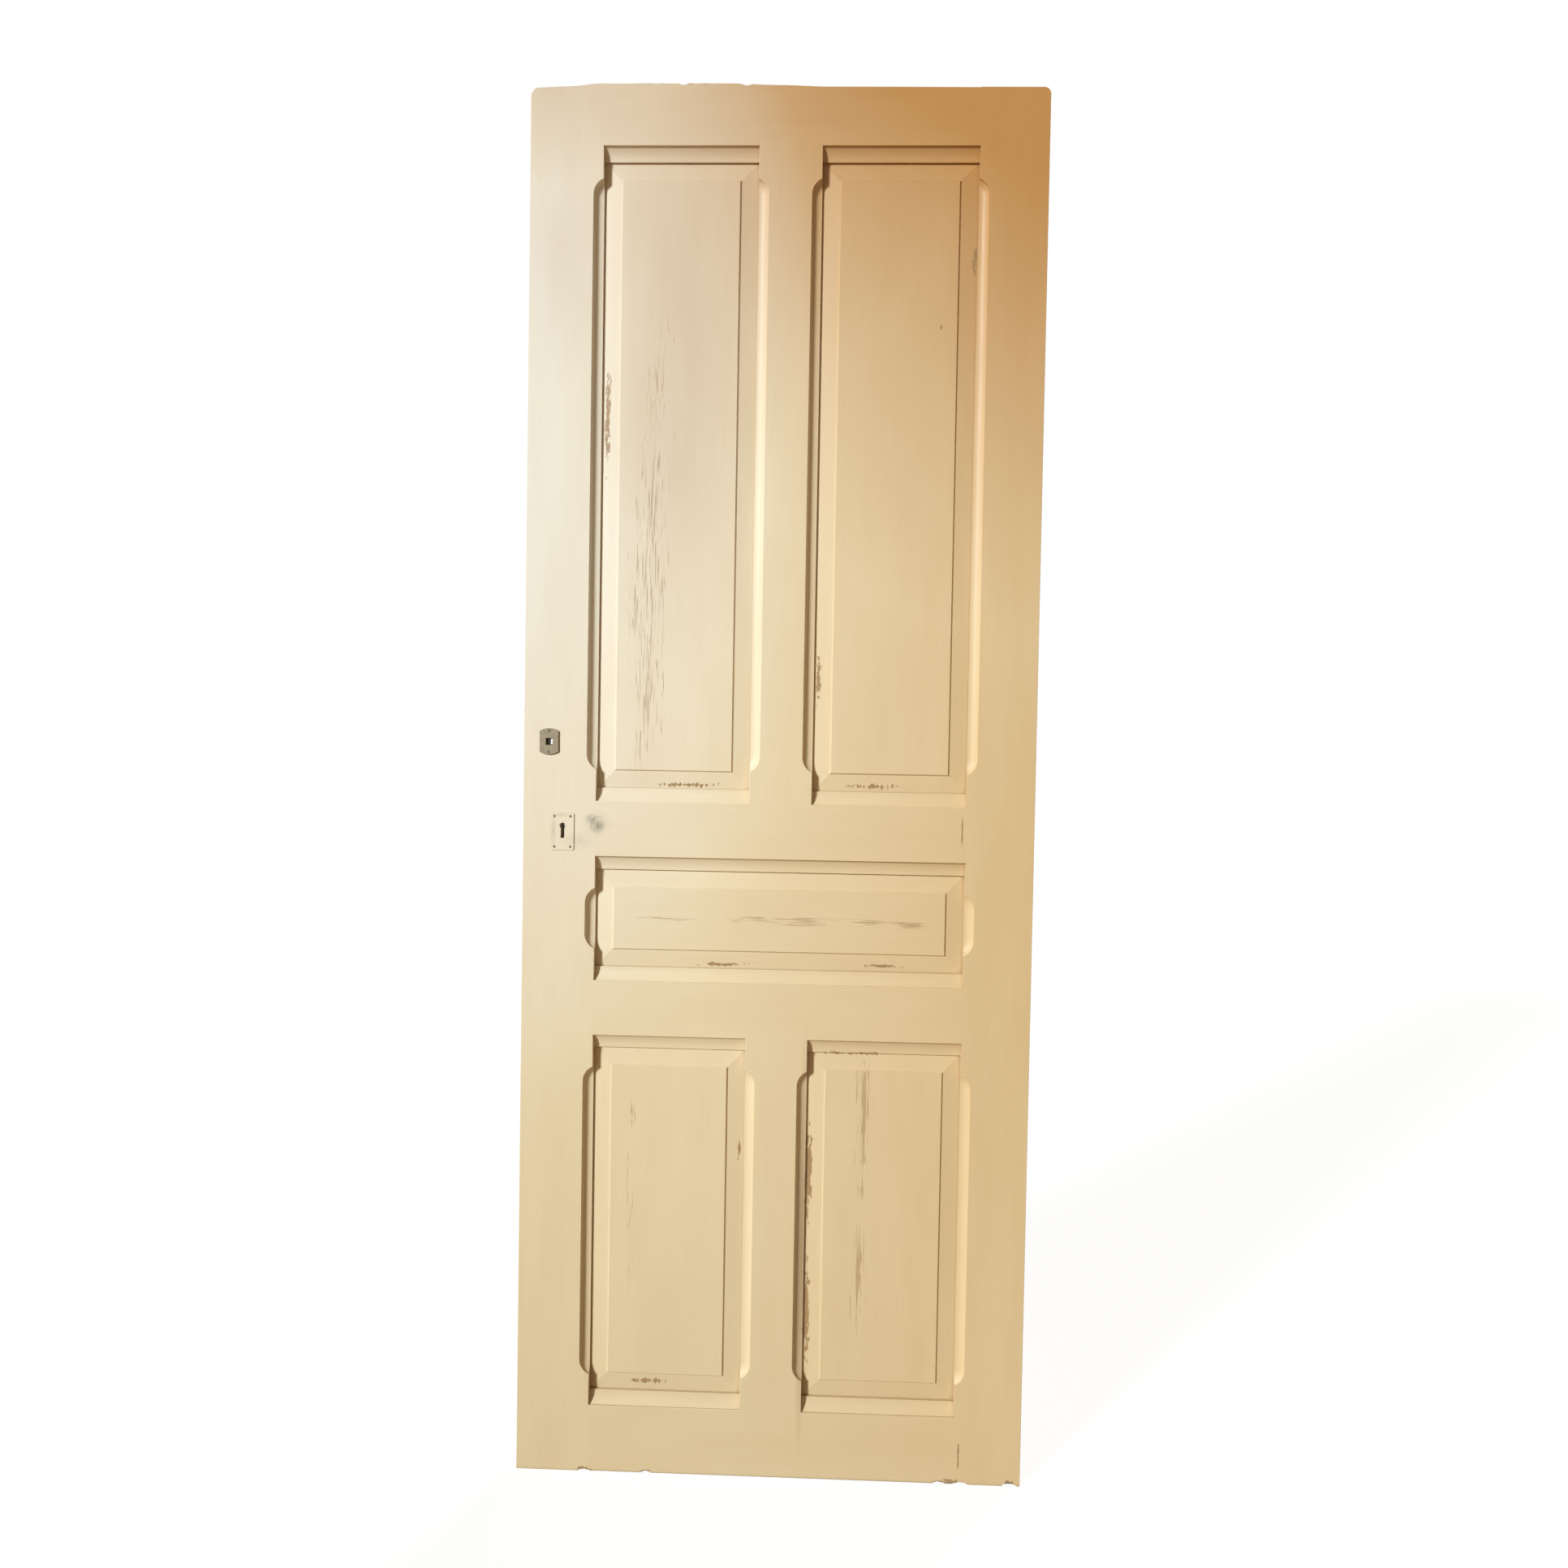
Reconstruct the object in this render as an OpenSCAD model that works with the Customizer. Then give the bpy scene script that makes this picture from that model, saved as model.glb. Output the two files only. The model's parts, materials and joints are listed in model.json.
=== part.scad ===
// Panelled wooden exterior door: one leaf, off its frame.
// Two stiles, four rails and two muntins hold five raised panels in grooves. The mouldings are worked
// on the framing itself: they run along the rails and stop short of the rails on every upright.
// Origin at the middle of the bottom edge. +X points to the hinge edge, +Z up, and -Y out of the
// face that carries the lock plates. Sizes are in millimetres.

/* [Leaf] */
// Width of the leaf
leaf_w = 735; // [680:1:900]
// Height of the leaf
leaf_h = 2000; // [1850:1:2250]
// Thickness of the leaf
leaf_t = 40; // [38:0.5:50]

/* [Framing] */
// Width of the lock stile
lock_stile_w = 105; // [98:0.5:130]
// Width of the hinge stile
hinge_stile_w = 97; // [84:0.5:120]
// Width of the muntins
muntin_w = 90; // [70:0.5:110]
// Flat height of the top rail, down to its moulding
top_rail_h = 85; // [75:1:120]
// Flat height of the lock rail between its mouldings
lock_rail_h = 80; // [70:1:110]
// Flat height of the middle rail between its mouldings
middle_rail_h = 80; // [60:1:110]
// Flat height of the bottom rail, up to its moulding
bottom_rail_h = 98; // [80:1:140]
// Height of the opening for the middle panel
middle_opening_h = 180; // [160:1:260]
// Height of the openings for the lower panels
lower_opening_h = 545; // [420:1:640]

/* [Mouldings] */
// Width of the moulding that runs along the rails
rail_moulding_w = 19; // [14:0.5:22]
// Width of the stopped moulding on the stiles and muntins
stile_moulding_w = 14; // [10:0.5:16]
// Depth of the mouldings at their foot
moulding_d = 9.5; // [7:0.5:11]
// Depth of the quirk, the sharp step at a moulding's outer line
quirk_d = 3; // [1.5:0.25:4]
// Plain length of an upright's edge between a rail's flat and the stop of the moulding
stop_gap = 46; // [30:1:52]
// Radius of the curve that brings a stopped moulding out through the edge
stop_r = 24; // [20:0.5:30]

/* [Panels] */
// Width of the panel grooves, which is also the thickness of the tenons
groove_w = 14; // [10:0.5:16]
// Depth of the panel grooves
groove_d = 12; // [8:0.5:15]
// Room left for a panel to swell at the bottom of its groove
swell_gap = 2; // [1:0.5:4]
// Clearance between a panel's tongue and each side of its groove
tongue_clearance = 0.15; // [0.05:0.05:0.4]
// Width of the sloping margin around a panel's field
margin_w = 25; // [15:1:35]
// Rise of the sloping margin towards the field
margin_rise = 3; // [1:0.5:4]
// Height of the step at the edge of the field
field_step = 2.5; // [1:0.25:4]
// Width that the slope of that step takes up
field_step_run = 1.5; // [0.5:0.25:3]

/* [Joints] */
// Height of the haunch that closes a stile's groove at the top and the bottom of the leaf
haunch_h = 35; // [20:1:40]
// Length of a tenon wedge
wedge_l = 60; // [30:1:75]
// Thickness of a tenon wedge at its head
wedge_head_t = 6; // [4:0.5:8]
// Thickness of a tenon wedge at its tip
wedge_tip_t = 1; // [0.5:0.25:2]
// Length of the muntins' tenons
muntin_tenon_l = 40; // [20:1:45]
// Radius of the plug in an old spindle hole
plug_r = 12; // [9:0.5:16]
// Depth of that plug's hole
plug_d = 8; // [4:0.5:10]
// How far the plug lies below the face
plug_sunk = 0.4; // [0.2:0.1:1]
// Distance of the plug's middle from the lock stile's inner edge
plug_offset = 5; // [-4:0.5:12]

/* [Lock cases and forends] */
// Thickness of both lock cases
case_t = 14; // [13.5:0.25:16]
// Thickness of the case walls and covers
case_wall = 1.5; // [1:0.25:1.75]
// Room around a case in its mortise
case_clearance = 0.15; // [0.05:0.05:0.4]
// Width of the forend plates on the lock edge
forend_w = 20; // [18:0.5:24]
// Length of the forend plates
forend_l = 92; // [86:1:104]
// Thickness of the forend plates
forend_t = 3; // [2.5:0.25:4]
// Clearance around each sliding or turning lock piece
lock_clearance = 0.3; // [0.2:0.05:0.4]
// Thickness of the bolts
bolt_t = 10; // [8:0.25:10.4]

/* [Night bolt] */
// Height of the spindle above the keyhole
spindle_rise = 121; // [116:1:150]
// Distance of the spindle from the lock edge
spindle_backset = 37; // [34:0.5:40]
// Side of the follower's square hole
spindle_square = 8.2; // [6.2:0.1:9]
// Side of the square hole in the rose
rose_square = 10; // [9.2:0.1:11]
// Radius of the follower's hub
hub_r = 9; // [8:0.25:10]
// Radius of the follower's journals in the case walls
journal_r = 7.2; // [6.8:0.1:7.5]
// Distance of the finger tip's middle from the follower's axis
finger_reach = 16; // [14.5:0.25:17]
// Radius of the rounded finger tip
finger_tip_r = 3; // [2.5:0.25:3.25]
// Play of the finger tip in the bolt's notch
finger_play = 0.5; // [0.4:0.05:0.8]
// Angle that the follower turns through
follower_turn = 60; // [40:1:62]
// Height of the night bolt
night_bolt_h = 14; // [12:0.5:16]
// Depth of the night bolt's case behind its forend
night_case_d = 57; // [54:0.5:62]
// Width of the spindle rose
rose_w = 28; // [24:0.5:34]
// Height of the spindle rose
rose_h = 38; // [36:0.5:46]
// Thickness of the spindle rose
rose_t = 2.5; // [2:0.25:3.5]

/* [Deadlock] */
// Distance of the keyhole from the lock edge
key_backset = 57.5; // [52:0.5:59]
// Height of the keyhole's round part above the middle of the lock rail
key_rise = 3.5; // [-6:0.5:8]
// Radius of the keyhole's round part
keyhole_r = 4.3; // [3.8:0.1:5]
// Width of the keyhole's slot
key_slot_w = 5.4; // [4.8:0.1:6]
// Drop of the keyhole's slot below the middle of the round part
key_slot_drop = 18; // [15:0.5:19]
// Height of the dead bolt
dead_bolt_h = 18; // [14:0.5:20]
// Throw of the dead bolt
dead_bolt_throw = 15; // [10:0.5:18]
// Depth of the deadlock's case behind its forend
dead_case_d = 77; // [75:0.5:79]
// Width of the keyhole plate
key_plate_w = 33; // [28:0.5:40]
// Height of the keyhole plate
key_plate_h = 54; // [52:0.5:64]
// Thickness of the keyhole plate
key_plate_t = 1.2; // [0.8:0.1:2]
// Radius of the keyhole plate's corners
key_plate_corner_r = 2.5; // [1:0.25:5]

/* [Hinge halves] */
// Length of a hinge plate
hinge_l = 110; // [100:1:140]
// Width of a hinge plate, let into the leaf's edge
hinge_plate_w = 32; // [28:0.5:36]
// Thickness of a hinge plate
hinge_plate_t = 2.5; // [2:0.25:3.5]
// Outer radius of a hinge knuckle
knuckle_r = 6.5; // [6.25:0.25:9]
// Radius of the bore that takes the frame's hinge pin
pin_bore_r = 4.5; // [3.5:0.25:4.75]
// Gap between the leaf and its frame at the hinges
hinge_gap = 3; // [2:0.5:5]
// Distance of the outer hinges from the leaf's ends
hinge_end = 220; // [180:1:300]
// Height of the middle hinge above the lock rail
middle_hinge_rise = 117; // [90:1:250]

/* [Screws and pins] */
// Radius of the wood screws' shanks
screw_r = 2; // [1.5:0.1:2.3]
// Radius of the wood screws' heads
screw_head_r = 3.8; // [3.2:0.1:4]
// Length of the wood screws
screw_l = 28; // [16:1:32]
// Radius of the rose screws' shanks
rose_screw_r = 1.3; // [1:0.1:1.5]
// Radius of the rose screws' heads
rose_screw_head_r = 2.4; // [2:0.1:2.7]
// Length of the rose screws
rose_screw_l = 10; // [6:0.5:11]
// Radius of the cover screws' shanks
cover_screw_r = 1.1; // [0.8:0.1:1.2]
// Radius of the keyhole plate's pins
pin_r = 0.8; // [0.6:0.1:1.1]
// Radius of those pins' domed heads
pin_head_r = 1.8; // [1.4:0.1:2.4]
// Clearance of every screw and pin in its hole
screw_clearance = 0.05; // [0.02:0.01:0.1]

/* [Hidden] */
$fn = 64;

// Colours of the paint, the wood that it leaves bare, and the metals
paint = "#e2cb9f";
bare_wood = "#b98d5e";
steel = "#8d8578";
iron = "#5d564c";

// Overshoot of every cutting shape past the faces that it opens
cut = 4;
half_t = leaf_t / 2;

// Upright positions, from the lock edge to the hinge edge
lock_edge = -leaf_w / 2;
hinge_edge = leaf_w / 2;
opening_left = lock_edge + lock_stile_w;
opening_right = hinge_edge - hinge_stile_w;
opening_w = opening_right - opening_left;
muntin_x = (opening_left + opening_right) / 2;
muntin_left = muntin_x - muntin_w / 2;
muntin_right = muntin_x + muntin_w / 2;
muntin_tenon_w = muntin_w - 2 * groove_d;

// Levels of the openings between the rails' flats, from the floor up
lower_z = [bottom_rail_h, bottom_rail_h + lower_opening_h];
middle_z = [lower_z[1] + middle_rail_h, lower_z[1] + middle_rail_h + middle_opening_h];
upper_z = [middle_z[1] + lock_rail_h, leaf_h - top_rail_h];

// A rail is its lower edge, its upper edge, and whether each of them is moulded
bottom_rail_z = [0, lower_z[0] + rail_moulding_w, false, true];
middle_rail_z = [lower_z[1] - rail_moulding_w, middle_z[0] + rail_moulding_w, true, true];
lock_rail_z = [middle_z[1] - rail_moulding_w, upper_z[0] + rail_moulding_w, true, true];
top_rail_z = [upper_z[1] - rail_moulding_w, leaf_h, true, false];

// Arc on which a stopped moulding leaves the edge
stop_angle = acos(1 - stile_moulding_w / stop_r);
stop_l = round(10 * stop_r * sin(stop_angle)) / 10;

// Panel thickness at the tongue, at the inside of the margin and at the field
tongue_t = groove_w - 2 * tongue_clearance;
tongue_l = groove_d - swell_gap;
margin_t = tongue_t + 2 * margin_rise;
field_t = margin_t + 2 * field_step;

// How far a tenon or haunch runs back into its own rail or muntin
tenon_root = 5;

// Places of the locks
key_x = lock_edge + key_backset;
key_z = (middle_z[1] + upper_z[0]) / 2 + key_rise;
spindle_x = lock_edge + spindle_backset;
spindle_z = key_z + spindle_rise;
plug_x = opening_left + plug_offset;
plug_z = key_z + 1.5;

// Lock cases: the forend lies flush in the edge, and the case stands behind it
case_front = lock_edge + forend_t;
case_half = case_t / 2;
case_inner_half = case_half - case_wall;
bolt_head = lock_edge + lock_clearance;
bolt_half = bolt_t / 2;
post_r = 3;
post_in = 2;

// The night bolt lies above the follower, whose finger swings to both sides of upright
finger_neck_w = 3.8;
finger_swing = finger_reach * sin(follower_turn / 2);
night_bolt_z0 = spindle_z + finger_reach - finger_tip_r - 0.5;
night_bolt_z1 = night_bolt_z0 + night_bolt_h;
notch_top = spindle_z + finger_reach + finger_tip_r + 1.5;
notch_half = finger_tip_r + finger_play;
night_bolt_tail = case_front + night_case_d - case_wall - 1;
night_case_z = [spindle_z - hub_r - 5, night_bolt_z1 + lock_clearance + case_wall];
night_forend_z = (night_case_z[0] + night_case_z[1]) / 2;
guide_l = 13;
rose_bow = 4;
rose_bevel = 0.8;

// The dead bolt lies above the keyhole, in reach of a key's bit
key_bit_r = key_slot_drop - 2;
talon_r = 4.5;
talon_x = key_x + dead_bolt_throw / 2;
dead_bolt_z0 = key_z + key_bit_r - 3;
dead_bolt_z1 = dead_bolt_z0 + dead_bolt_h;
dead_bolt_tail = key_x + 17;
dead_case_z = [key_z - key_slot_drop - 3, dead_bolt_z1 + 8];
dead_forend_z = (dead_case_z[0] + dead_case_z[1]) / 2;
stump_r = 2.5;
guide_slot_r = stump_r + lock_clearance;
stump_setback = 22.5;
stump_x = key_x - stump_setback;
stump_z = (dead_bolt_z0 + dead_bolt_z1) / 2 + 1;
lock_stub_l = lock_stile_w - forend_t - dead_case_d - 3;

// Leaf spring over the dead bolt, bent to an arc
spring_r = 60;
spring_t = 0.8;
spring_w = 8;
spring_x = case_front + dead_case_d / 2;

// Screw and pin places
forend_screw_z = forend_l / 2 - 6;
rose_screw_z = rose_h / 2 - 4.2;
cover_screw_head_r = 2 * cover_screw_r;
cover_screw_l = 7;
pin_l = 9;
pin_inset = 5;

// Hinges: the knuckle stands behind the back face, outside the leaf's edge
knuckle_x = hinge_edge + hinge_gap / 2;
knuckle_y = half_t + knuckle_r - 0.6;
knuckle_l = hinge_l / 2;
knuckle_chamfer = 1;
top_hinge_z = leaf_h - hinge_end;
middle_hinge_z = upper_z[0] + middle_hinge_rise;
bottom_hinge_z = hinge_end;

// Shared shapes

// Puts its children on both faces of the leaf, with y counted into the wood
module both_faces() {
    for (side = [0, 1])
        mirror([0, side, 0]) translate([0, -half_t, 0]) children();
}

// Puts its children at the lock stile's inner edge, and mirrored at the hinge stile's
module at_lock_stile() {
    translate([opening_left, 0, 0]) children();
}

module at_hinge_stile() {
    translate([opening_right, 0, 0]) mirror([1, 0, 0]) children();
}

// Extrudes an outline drawn in x and z along Y, between two depths
module along_y(y0, y1) {
    translate([0, y1, 0]) rotate([90, 0, 0]) linear_extrude(y1 - y0) children();
}

// Radius of a hollow that sweeps from the quirk out to a level foot over a given width
function hollow_r(w) =
    let (drop = moulding_d - quirk_d) (w * w + drop * drop) / (2 * drop);

// What the moulding plane takes away: x across from the outer line, y into the wood
module moulding_section(w) {
    intersection() {
        translate([0, -cut]) square([w + cut, moulding_d + 2 * cut]);
        translate([w, moulding_d - hollow_r(w)]) circle(hollow_r(w));
    }
}

// Straight moulding along Z, for an edge at x = 0 with its wood at x < 0
module moulding_run(w, length) {
    linear_extrude(length) translate([-w, 0]) moulding_section(w);
}

// Upper end of a stopped moulding, swung out through the edge on an arc
module moulding_stop() {
    translate([stop_r - stile_moulding_w, 0, 0])
        rotate([-90, 0, 0])
            rotate([0, 0, 180])
                rotate_extrude(angle = stop_angle + 4)
                    translate([stop_r, 0]) mirror([1, 0]) moulding_section(stile_moulding_w);
}

// Stopped moulding in an opening between two rail flats
module stopped_moulding(opening) {
    low = opening[0] + stop_gap + stop_l;
    high = opening[1] - stop_gap - stop_l;
    translate([0, 0, low]) moulding_run(stile_moulding_w, high - low);
    translate([0, 0, high]) moulding_stop();
    translate([0, 0, low]) mirror([0, 0, 1]) moulding_stop();
}

// All that is worked on an upright's edge at x = 0: the panel groove and the mouldings
module upright_edge(bottom, top, openings) {
    translate([-groove_d, -groove_w / 2, bottom - cut])
        cube([groove_d + cut, groove_w, top - bottom + 2 * cut]);
    both_faces()
        for (opening = openings) stopped_moulding(opening);
}

// Levels of a rail's tenon: clear of the panel grooves, or a haunch short of the leaf's end
function tenon_z(rail) = [
    rail[0] + (rail[2] ? groove_d : haunch_h),
    rail[1] - (rail[3] ? groove_d : haunch_h)
];

// Tenon from a shoulder at x = 0 towards x < 0
module tenon(rail, length) {
    levels = tenon_z(rail);
    translate([-length, -groove_w / 2, levels[0]])
        cube([length + tenon_root, groove_w, levels[1] - levels[0]]);
}

// Haunch beside the tenon of a rail at the leaf's end
module haunch(rail) {
    levels = tenon_z(rail);
    if (!rail[2])
        translate([-groove_d, -groove_w / 2, rail[0]])
            cube([groove_d + tenon_root, groove_w, levels[0] - rail[0] + tenon_root]);
    if (!rail[3])
        translate([-groove_d, -groove_w / 2, levels[1] - tenon_root])
            cube([groove_d + tenon_root, groove_w, rail[1] - levels[1] + tenon_root]);
}

// Pair of wedges above and below the outer end of a through tenon
module wedge_pair(rail, length) {
    levels = tenon_z(rail);
    tip = wedge_l - length;
    along_y(-groove_w / 2, groove_w / 2) {
        polygon([[-length, levels[1]], [tip, levels[1]],
                 [tip, levels[1] + wedge_tip_t], [-length, levels[1] + wedge_head_t]]);
        polygon([[-length, levels[0]], [-length, levels[0] - wedge_head_t],
                 [tip, levels[0] - wedge_tip_t], [tip, levels[0]]]);
    }
}

// Mortise of a through tenon, flared for its wedges and open at the stile's outer edge
module wedged_mortise(rail, length) {
    levels = tenon_z(rail);
    tip = wedge_l - length;
    low = levels[0] - wedge_head_t;
    high = levels[1] + wedge_head_t;
    along_y(-groove_w / 2, groove_w / 2)
        polygon([[cut, levels[0]], [cut, levels[1]], [tip, levels[1]], [tip, levels[1] + wedge_tip_t],
                 [-length, high], [-length - cut, high], [-length - cut, low], [-length, low],
                 [tip, levels[0] - wedge_tip_t], [tip, levels[0]]]);
}

// Countersunk screw along +Y with the face of its head at y = 0, or its hole
module screw(r, head_r, length, clearance = 0) {
    rotate([-90, 0, 0]) {
        cylinder(h = length + clearance, r = r + clearance);
        cylinder(h = head_r - r, r1 = head_r + clearance, r2 = r + clearance);
    }
}

// Screw with a slot across its head
module slotted_screw(r, head_r, length) {
    difference() {
        screw(r, head_r, length);
        translate([-head_r - 1, -1, -0.4]) cube([2 * head_r + 2, 2, 0.8]);
    }
}

// Places of the screws and pins, with +Y turned into what each one is driven into
module forend_screw_places(level) {
    for (side = [-1, 1])
        translate([lock_edge, 0, level + side * forend_screw_z]) rotate([0, 0, -90]) children();
}

module rose_screw_places() {
    for (side = [-1, 1])
        translate([spindle_x, -half_t - rose_t, spindle_z + side * rose_screw_z]) children();
}

module key_pin_places() {
    for (x = [-1, 1], z = [-1, 1])
        translate([key_x + x * (key_plate_w / 2 - pin_inset), -half_t - key_plate_t,
                   key_plate_z() + z * (key_plate_h / 2 - pin_inset)])
            children();
}

module hinge_screw_places(level) {
    for (along = [-1, 1], row = [0, 1])
        translate([hinge_edge, half_t - hinge_plate_w * (row == 0 ? 0.32 : 0.68),
                   level + along * hinge_l * (row == 0 ? 0.4 : 0.18)])
            rotate([0, 0, 90]) children();
}

module night_cover_screw_places() {
    for (x = [case_front + case_wall + guide_l / 2,
              case_front + night_case_d - case_wall - post_in])
        translate([x, case_half, night_case_z[0] + case_wall + post_in])
            rotate([0, 0, 180]) children();
}

module dead_cover_screw_places() {
    for (x = [case_front + case_wall + post_in,
              case_front + dead_case_d - case_wall - post_in])
        translate([x, case_half, dead_case_z[0] + case_wall + post_in])
            rotate([0, 0, 180]) children();
}

// The keyhole plate hangs a little below the keyhole's own middle
function key_plate_z() = key_z - key_slot_drop / 2 + 0.5;

// Keyhole: a round hole with a slot below it
module keyhole_outline() {
    circle(keyhole_r);
    translate([-key_slot_w / 2, -key_slot_drop]) square([key_slot_w, key_slot_drop]);
}

// Keyhole through everything between two depths
module keyhole_cut(y0, y1) {
    translate([key_x, 0, key_z]) along_y(y0, y1) keyhole_outline();
}

// Round hole along Y at the spindle
module spindle_cut(r, y0, y1) {
    translate([spindle_x, y0, spindle_z]) rotate([-90, 0, 0]) cylinder(h = y1 - y0, r = r);
}

// Block in the lock edge from the forend's back inwards, between two levels
module behind_forend(depth, levels, half_width, grow = 0) {
    translate([case_front, -half_width - grow, levels[0] - grow])
        cube([depth + grow, 2 * (half_width + grow), levels[1] - levels[0] + 2 * grow]);
}

// Window for a bolt at the front of a lock, grown by the sliding clearance
module bolt_window(z0, z1) {
    translate([lock_edge - cut, -bolt_half - lock_clearance, z0 - lock_clearance])
        cube([forend_t + case_wall + 2 * cut, bolt_t + 2 * lock_clearance,
              z1 - z0 + 2 * lock_clearance]);
}

// Recess for a forend, open at the lock edge
module forend_recess(level) {
    translate([lock_edge - cut, -forend_w / 2, level - forend_l / 2])
        cube([forend_t + cut, forend_w, forend_l]);
}

// All that the locks and their plates need cut into the lock stile
module lock_mortises() {
    forend_recess(night_forend_z);
    forend_recess(dead_forend_z);
    behind_forend(night_case_d, night_case_z, case_half, case_clearance);
    behind_forend(dead_case_d, dead_case_z, case_half, case_clearance);
    spindle_cut(hub_r, -half_t - cut, half_t + cut);
    keyhole_cut(-half_t - cut, half_t + cut);
    for (level = [night_forend_z, dead_forend_z])
        forend_screw_places(level) screw(screw_r, screw_head_r, screw_l, screw_clearance);
    rose_screw_places() screw(rose_screw_r, rose_screw_head_r, rose_screw_l, screw_clearance);
    key_pin_places() key_pin(screw_clearance);
}

// Hole of the old spindle, now plugged
module plug_hole() {
    translate([plug_x, -half_t - cut, plug_z])
        rotate([-90, 0, 0]) cylinder(h = plug_d + cut, r = plug_r);
}

// Recess for a hinge plate in the hinge edge, with its screw holes
module hinge_recess(level) {
    translate([hinge_edge - hinge_plate_t, half_t - hinge_plate_w, level - hinge_l / 2])
        cube([hinge_plate_t + cut, hinge_plate_w + cut, hinge_l]);
    hinge_screw_places(level) screw(screw_r, screw_head_r, screw_l, screw_clearance);
}

// Pin along +Y whose domed head stands on the plate at y = 0, or its hole
module key_pin(clearance = 0) {
    translate([0, -pin_head_r / 5, 0]) rotate([-90, 0, 0])
        cylinder(h = pin_l + pin_head_r / 5 + clearance, r = pin_r + clearance);
    if (clearance == 0)
        intersection() {
            translate([0, pin_head_r * 0.75, 0]) sphere(pin_head_r * 1.25);
            translate([-cut, -cut, -cut]) cube([2 * cut, cut, 2 * cut]);
        }
}

// Stiles and muntins

module lock_stile() {
    color(paint) difference() {
        translate([lock_edge, -half_t, 0]) cube([lock_stile_w, leaf_t, leaf_h]);
        at_lock_stile() {
            upright_edge(0, leaf_h, [lower_z, middle_z, upper_z]);
            for (rail = [top_rail_z, middle_rail_z, bottom_rail_z]) wedged_mortise(rail, lock_stile_w);
            tenon(lock_rail_z, lock_stub_l);
        }
        lock_mortises();
        plug_hole();
    }
}

module hinge_stile() {
    color(paint) difference() {
        translate([opening_right, -half_t, 0]) cube([hinge_stile_w, leaf_t, leaf_h]);
        at_hinge_stile() {
            upright_edge(0, leaf_h, [lower_z, middle_z, upper_z]);
            for (rail = [top_rail_z, lock_rail_z, middle_rail_z, bottom_rail_z])
                wedged_mortise(rail, hinge_stile_w);
        }
        for (level = [top_hinge_z, middle_hinge_z, bottom_hinge_z]) hinge_recess(level);
    }
}

// A muntin's shoulders meet the rails' flats, and its tenons go into the rails
module muntin(opening) {
    translate([muntin_x, 0, 0]) {
        difference() {
            translate([-muntin_w / 2, -half_t, opening[0]])
                cube([muntin_w, leaf_t, opening[1] - opening[0]]);
            for (side = [0, 1])
                mirror([side, 0, 0]) translate([muntin_w / 2, 0, 0])
                    upright_edge(opening[0], opening[1], [opening]);
        }
        for (z = [opening[0] - muntin_tenon_l, opening[1] - tenon_root])
            translate([-muntin_tenon_w / 2, -groove_w / 2, z])
                cube([muntin_tenon_w, groove_w, muntin_tenon_l + tenon_root]);
    }
}

module upper_muntin() {
    color(paint) muntin(upper_z);
}

module lower_muntin() {
    color(paint) muntin(lower_z);
}

// Rails

// What is worked on a rail's upper edge at z = 0: groove, moulding and a muntin's mortise
module rail_edge(with_muntin) {
    translate([opening_left - cut, -groove_w / 2, -groove_d])
        cube([opening_w + 2 * cut, groove_w, groove_d + cut]);
    both_faces()
        translate([opening_right + cut, 0, 0]) rotate([0, -90, 0])
            moulding_run(rail_moulding_w, opening_w + 2 * cut);
    if (with_muntin) {
        translate([muntin_left, -half_t - cut, -rail_moulding_w])
            cube([muntin_w, leaf_t + 2 * cut, rail_moulding_w + cut]);
        translate([muntin_x - muntin_tenon_w / 2, -groove_w / 2, -rail_moulding_w - muntin_tenon_l])
            cube([muntin_tenon_w, groove_w, muntin_tenon_l + cut]);
    }
}

module rail(levels, muntin_below, muntin_above, lock_tenon_l) {
    difference() {
        translate([opening_left, -half_t, levels[0]])
            cube([opening_w, leaf_t, levels[1] - levels[0]]);
        if (levels[3])
            translate([0, 0, levels[1]]) rail_edge(muntin_above);
        if (levels[2])
            translate([0, 0, levels[0]]) mirror([0, 0, 1]) rail_edge(muntin_below);
    }
    at_lock_stile() {
        tenon(levels, lock_tenon_l);
        haunch(levels);
    }
    at_hinge_stile() {
        tenon(levels, hinge_stile_w);
        haunch(levels);
    }
}

module top_rail() {
    color(paint) rail(top_rail_z, true, false, lock_stile_w);
}

module lock_rail() {
    color(paint) difference() {
        rail(lock_rail_z, false, true, lock_stub_l);
        plug_hole();
    }
}

module middle_rail() {
    color(paint) rail(middle_rail_z, true, false, lock_stile_w);
}

module bottom_rail() {
    color(paint) rail(bottom_rail_z, false, true, lock_stile_w);
}

// Wedges in all the through tenons
module tenon_wedges() {
    color(bare_wood) {
        at_lock_stile()
            for (rail = [top_rail_z, middle_rail_z, bottom_rail_z]) wedge_pair(rail, lock_stile_w);
        at_hinge_stile()
            for (rail = [top_rail_z, lock_rail_z, middle_rail_z, bottom_rail_z])
                wedge_pair(rail, hinge_stile_w);
    }
}

// Panels

// Section across a panel: tongues, sloping margins, steps and the field on both faces
module panel_section(w) {
    margin = w / 2 - margin_w;
    field = margin - field_step_run;
    edge = w / 2 + tongue_l;
    corner = [[field, field_t / 2], [margin, margin_t / 2], [w / 2, tongue_t / 2], [edge, tongue_t / 2]];
    polygon(concat(
        [for (p = corner) p],
        [for (i = [3:-1:0]) [corner[i][0], -corner[i][1]]],
        [for (p = corner) -p],
        [for (i = [3:-1:0]) [-corner[i][0], corner[i][1]]]
    ));
}

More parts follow.
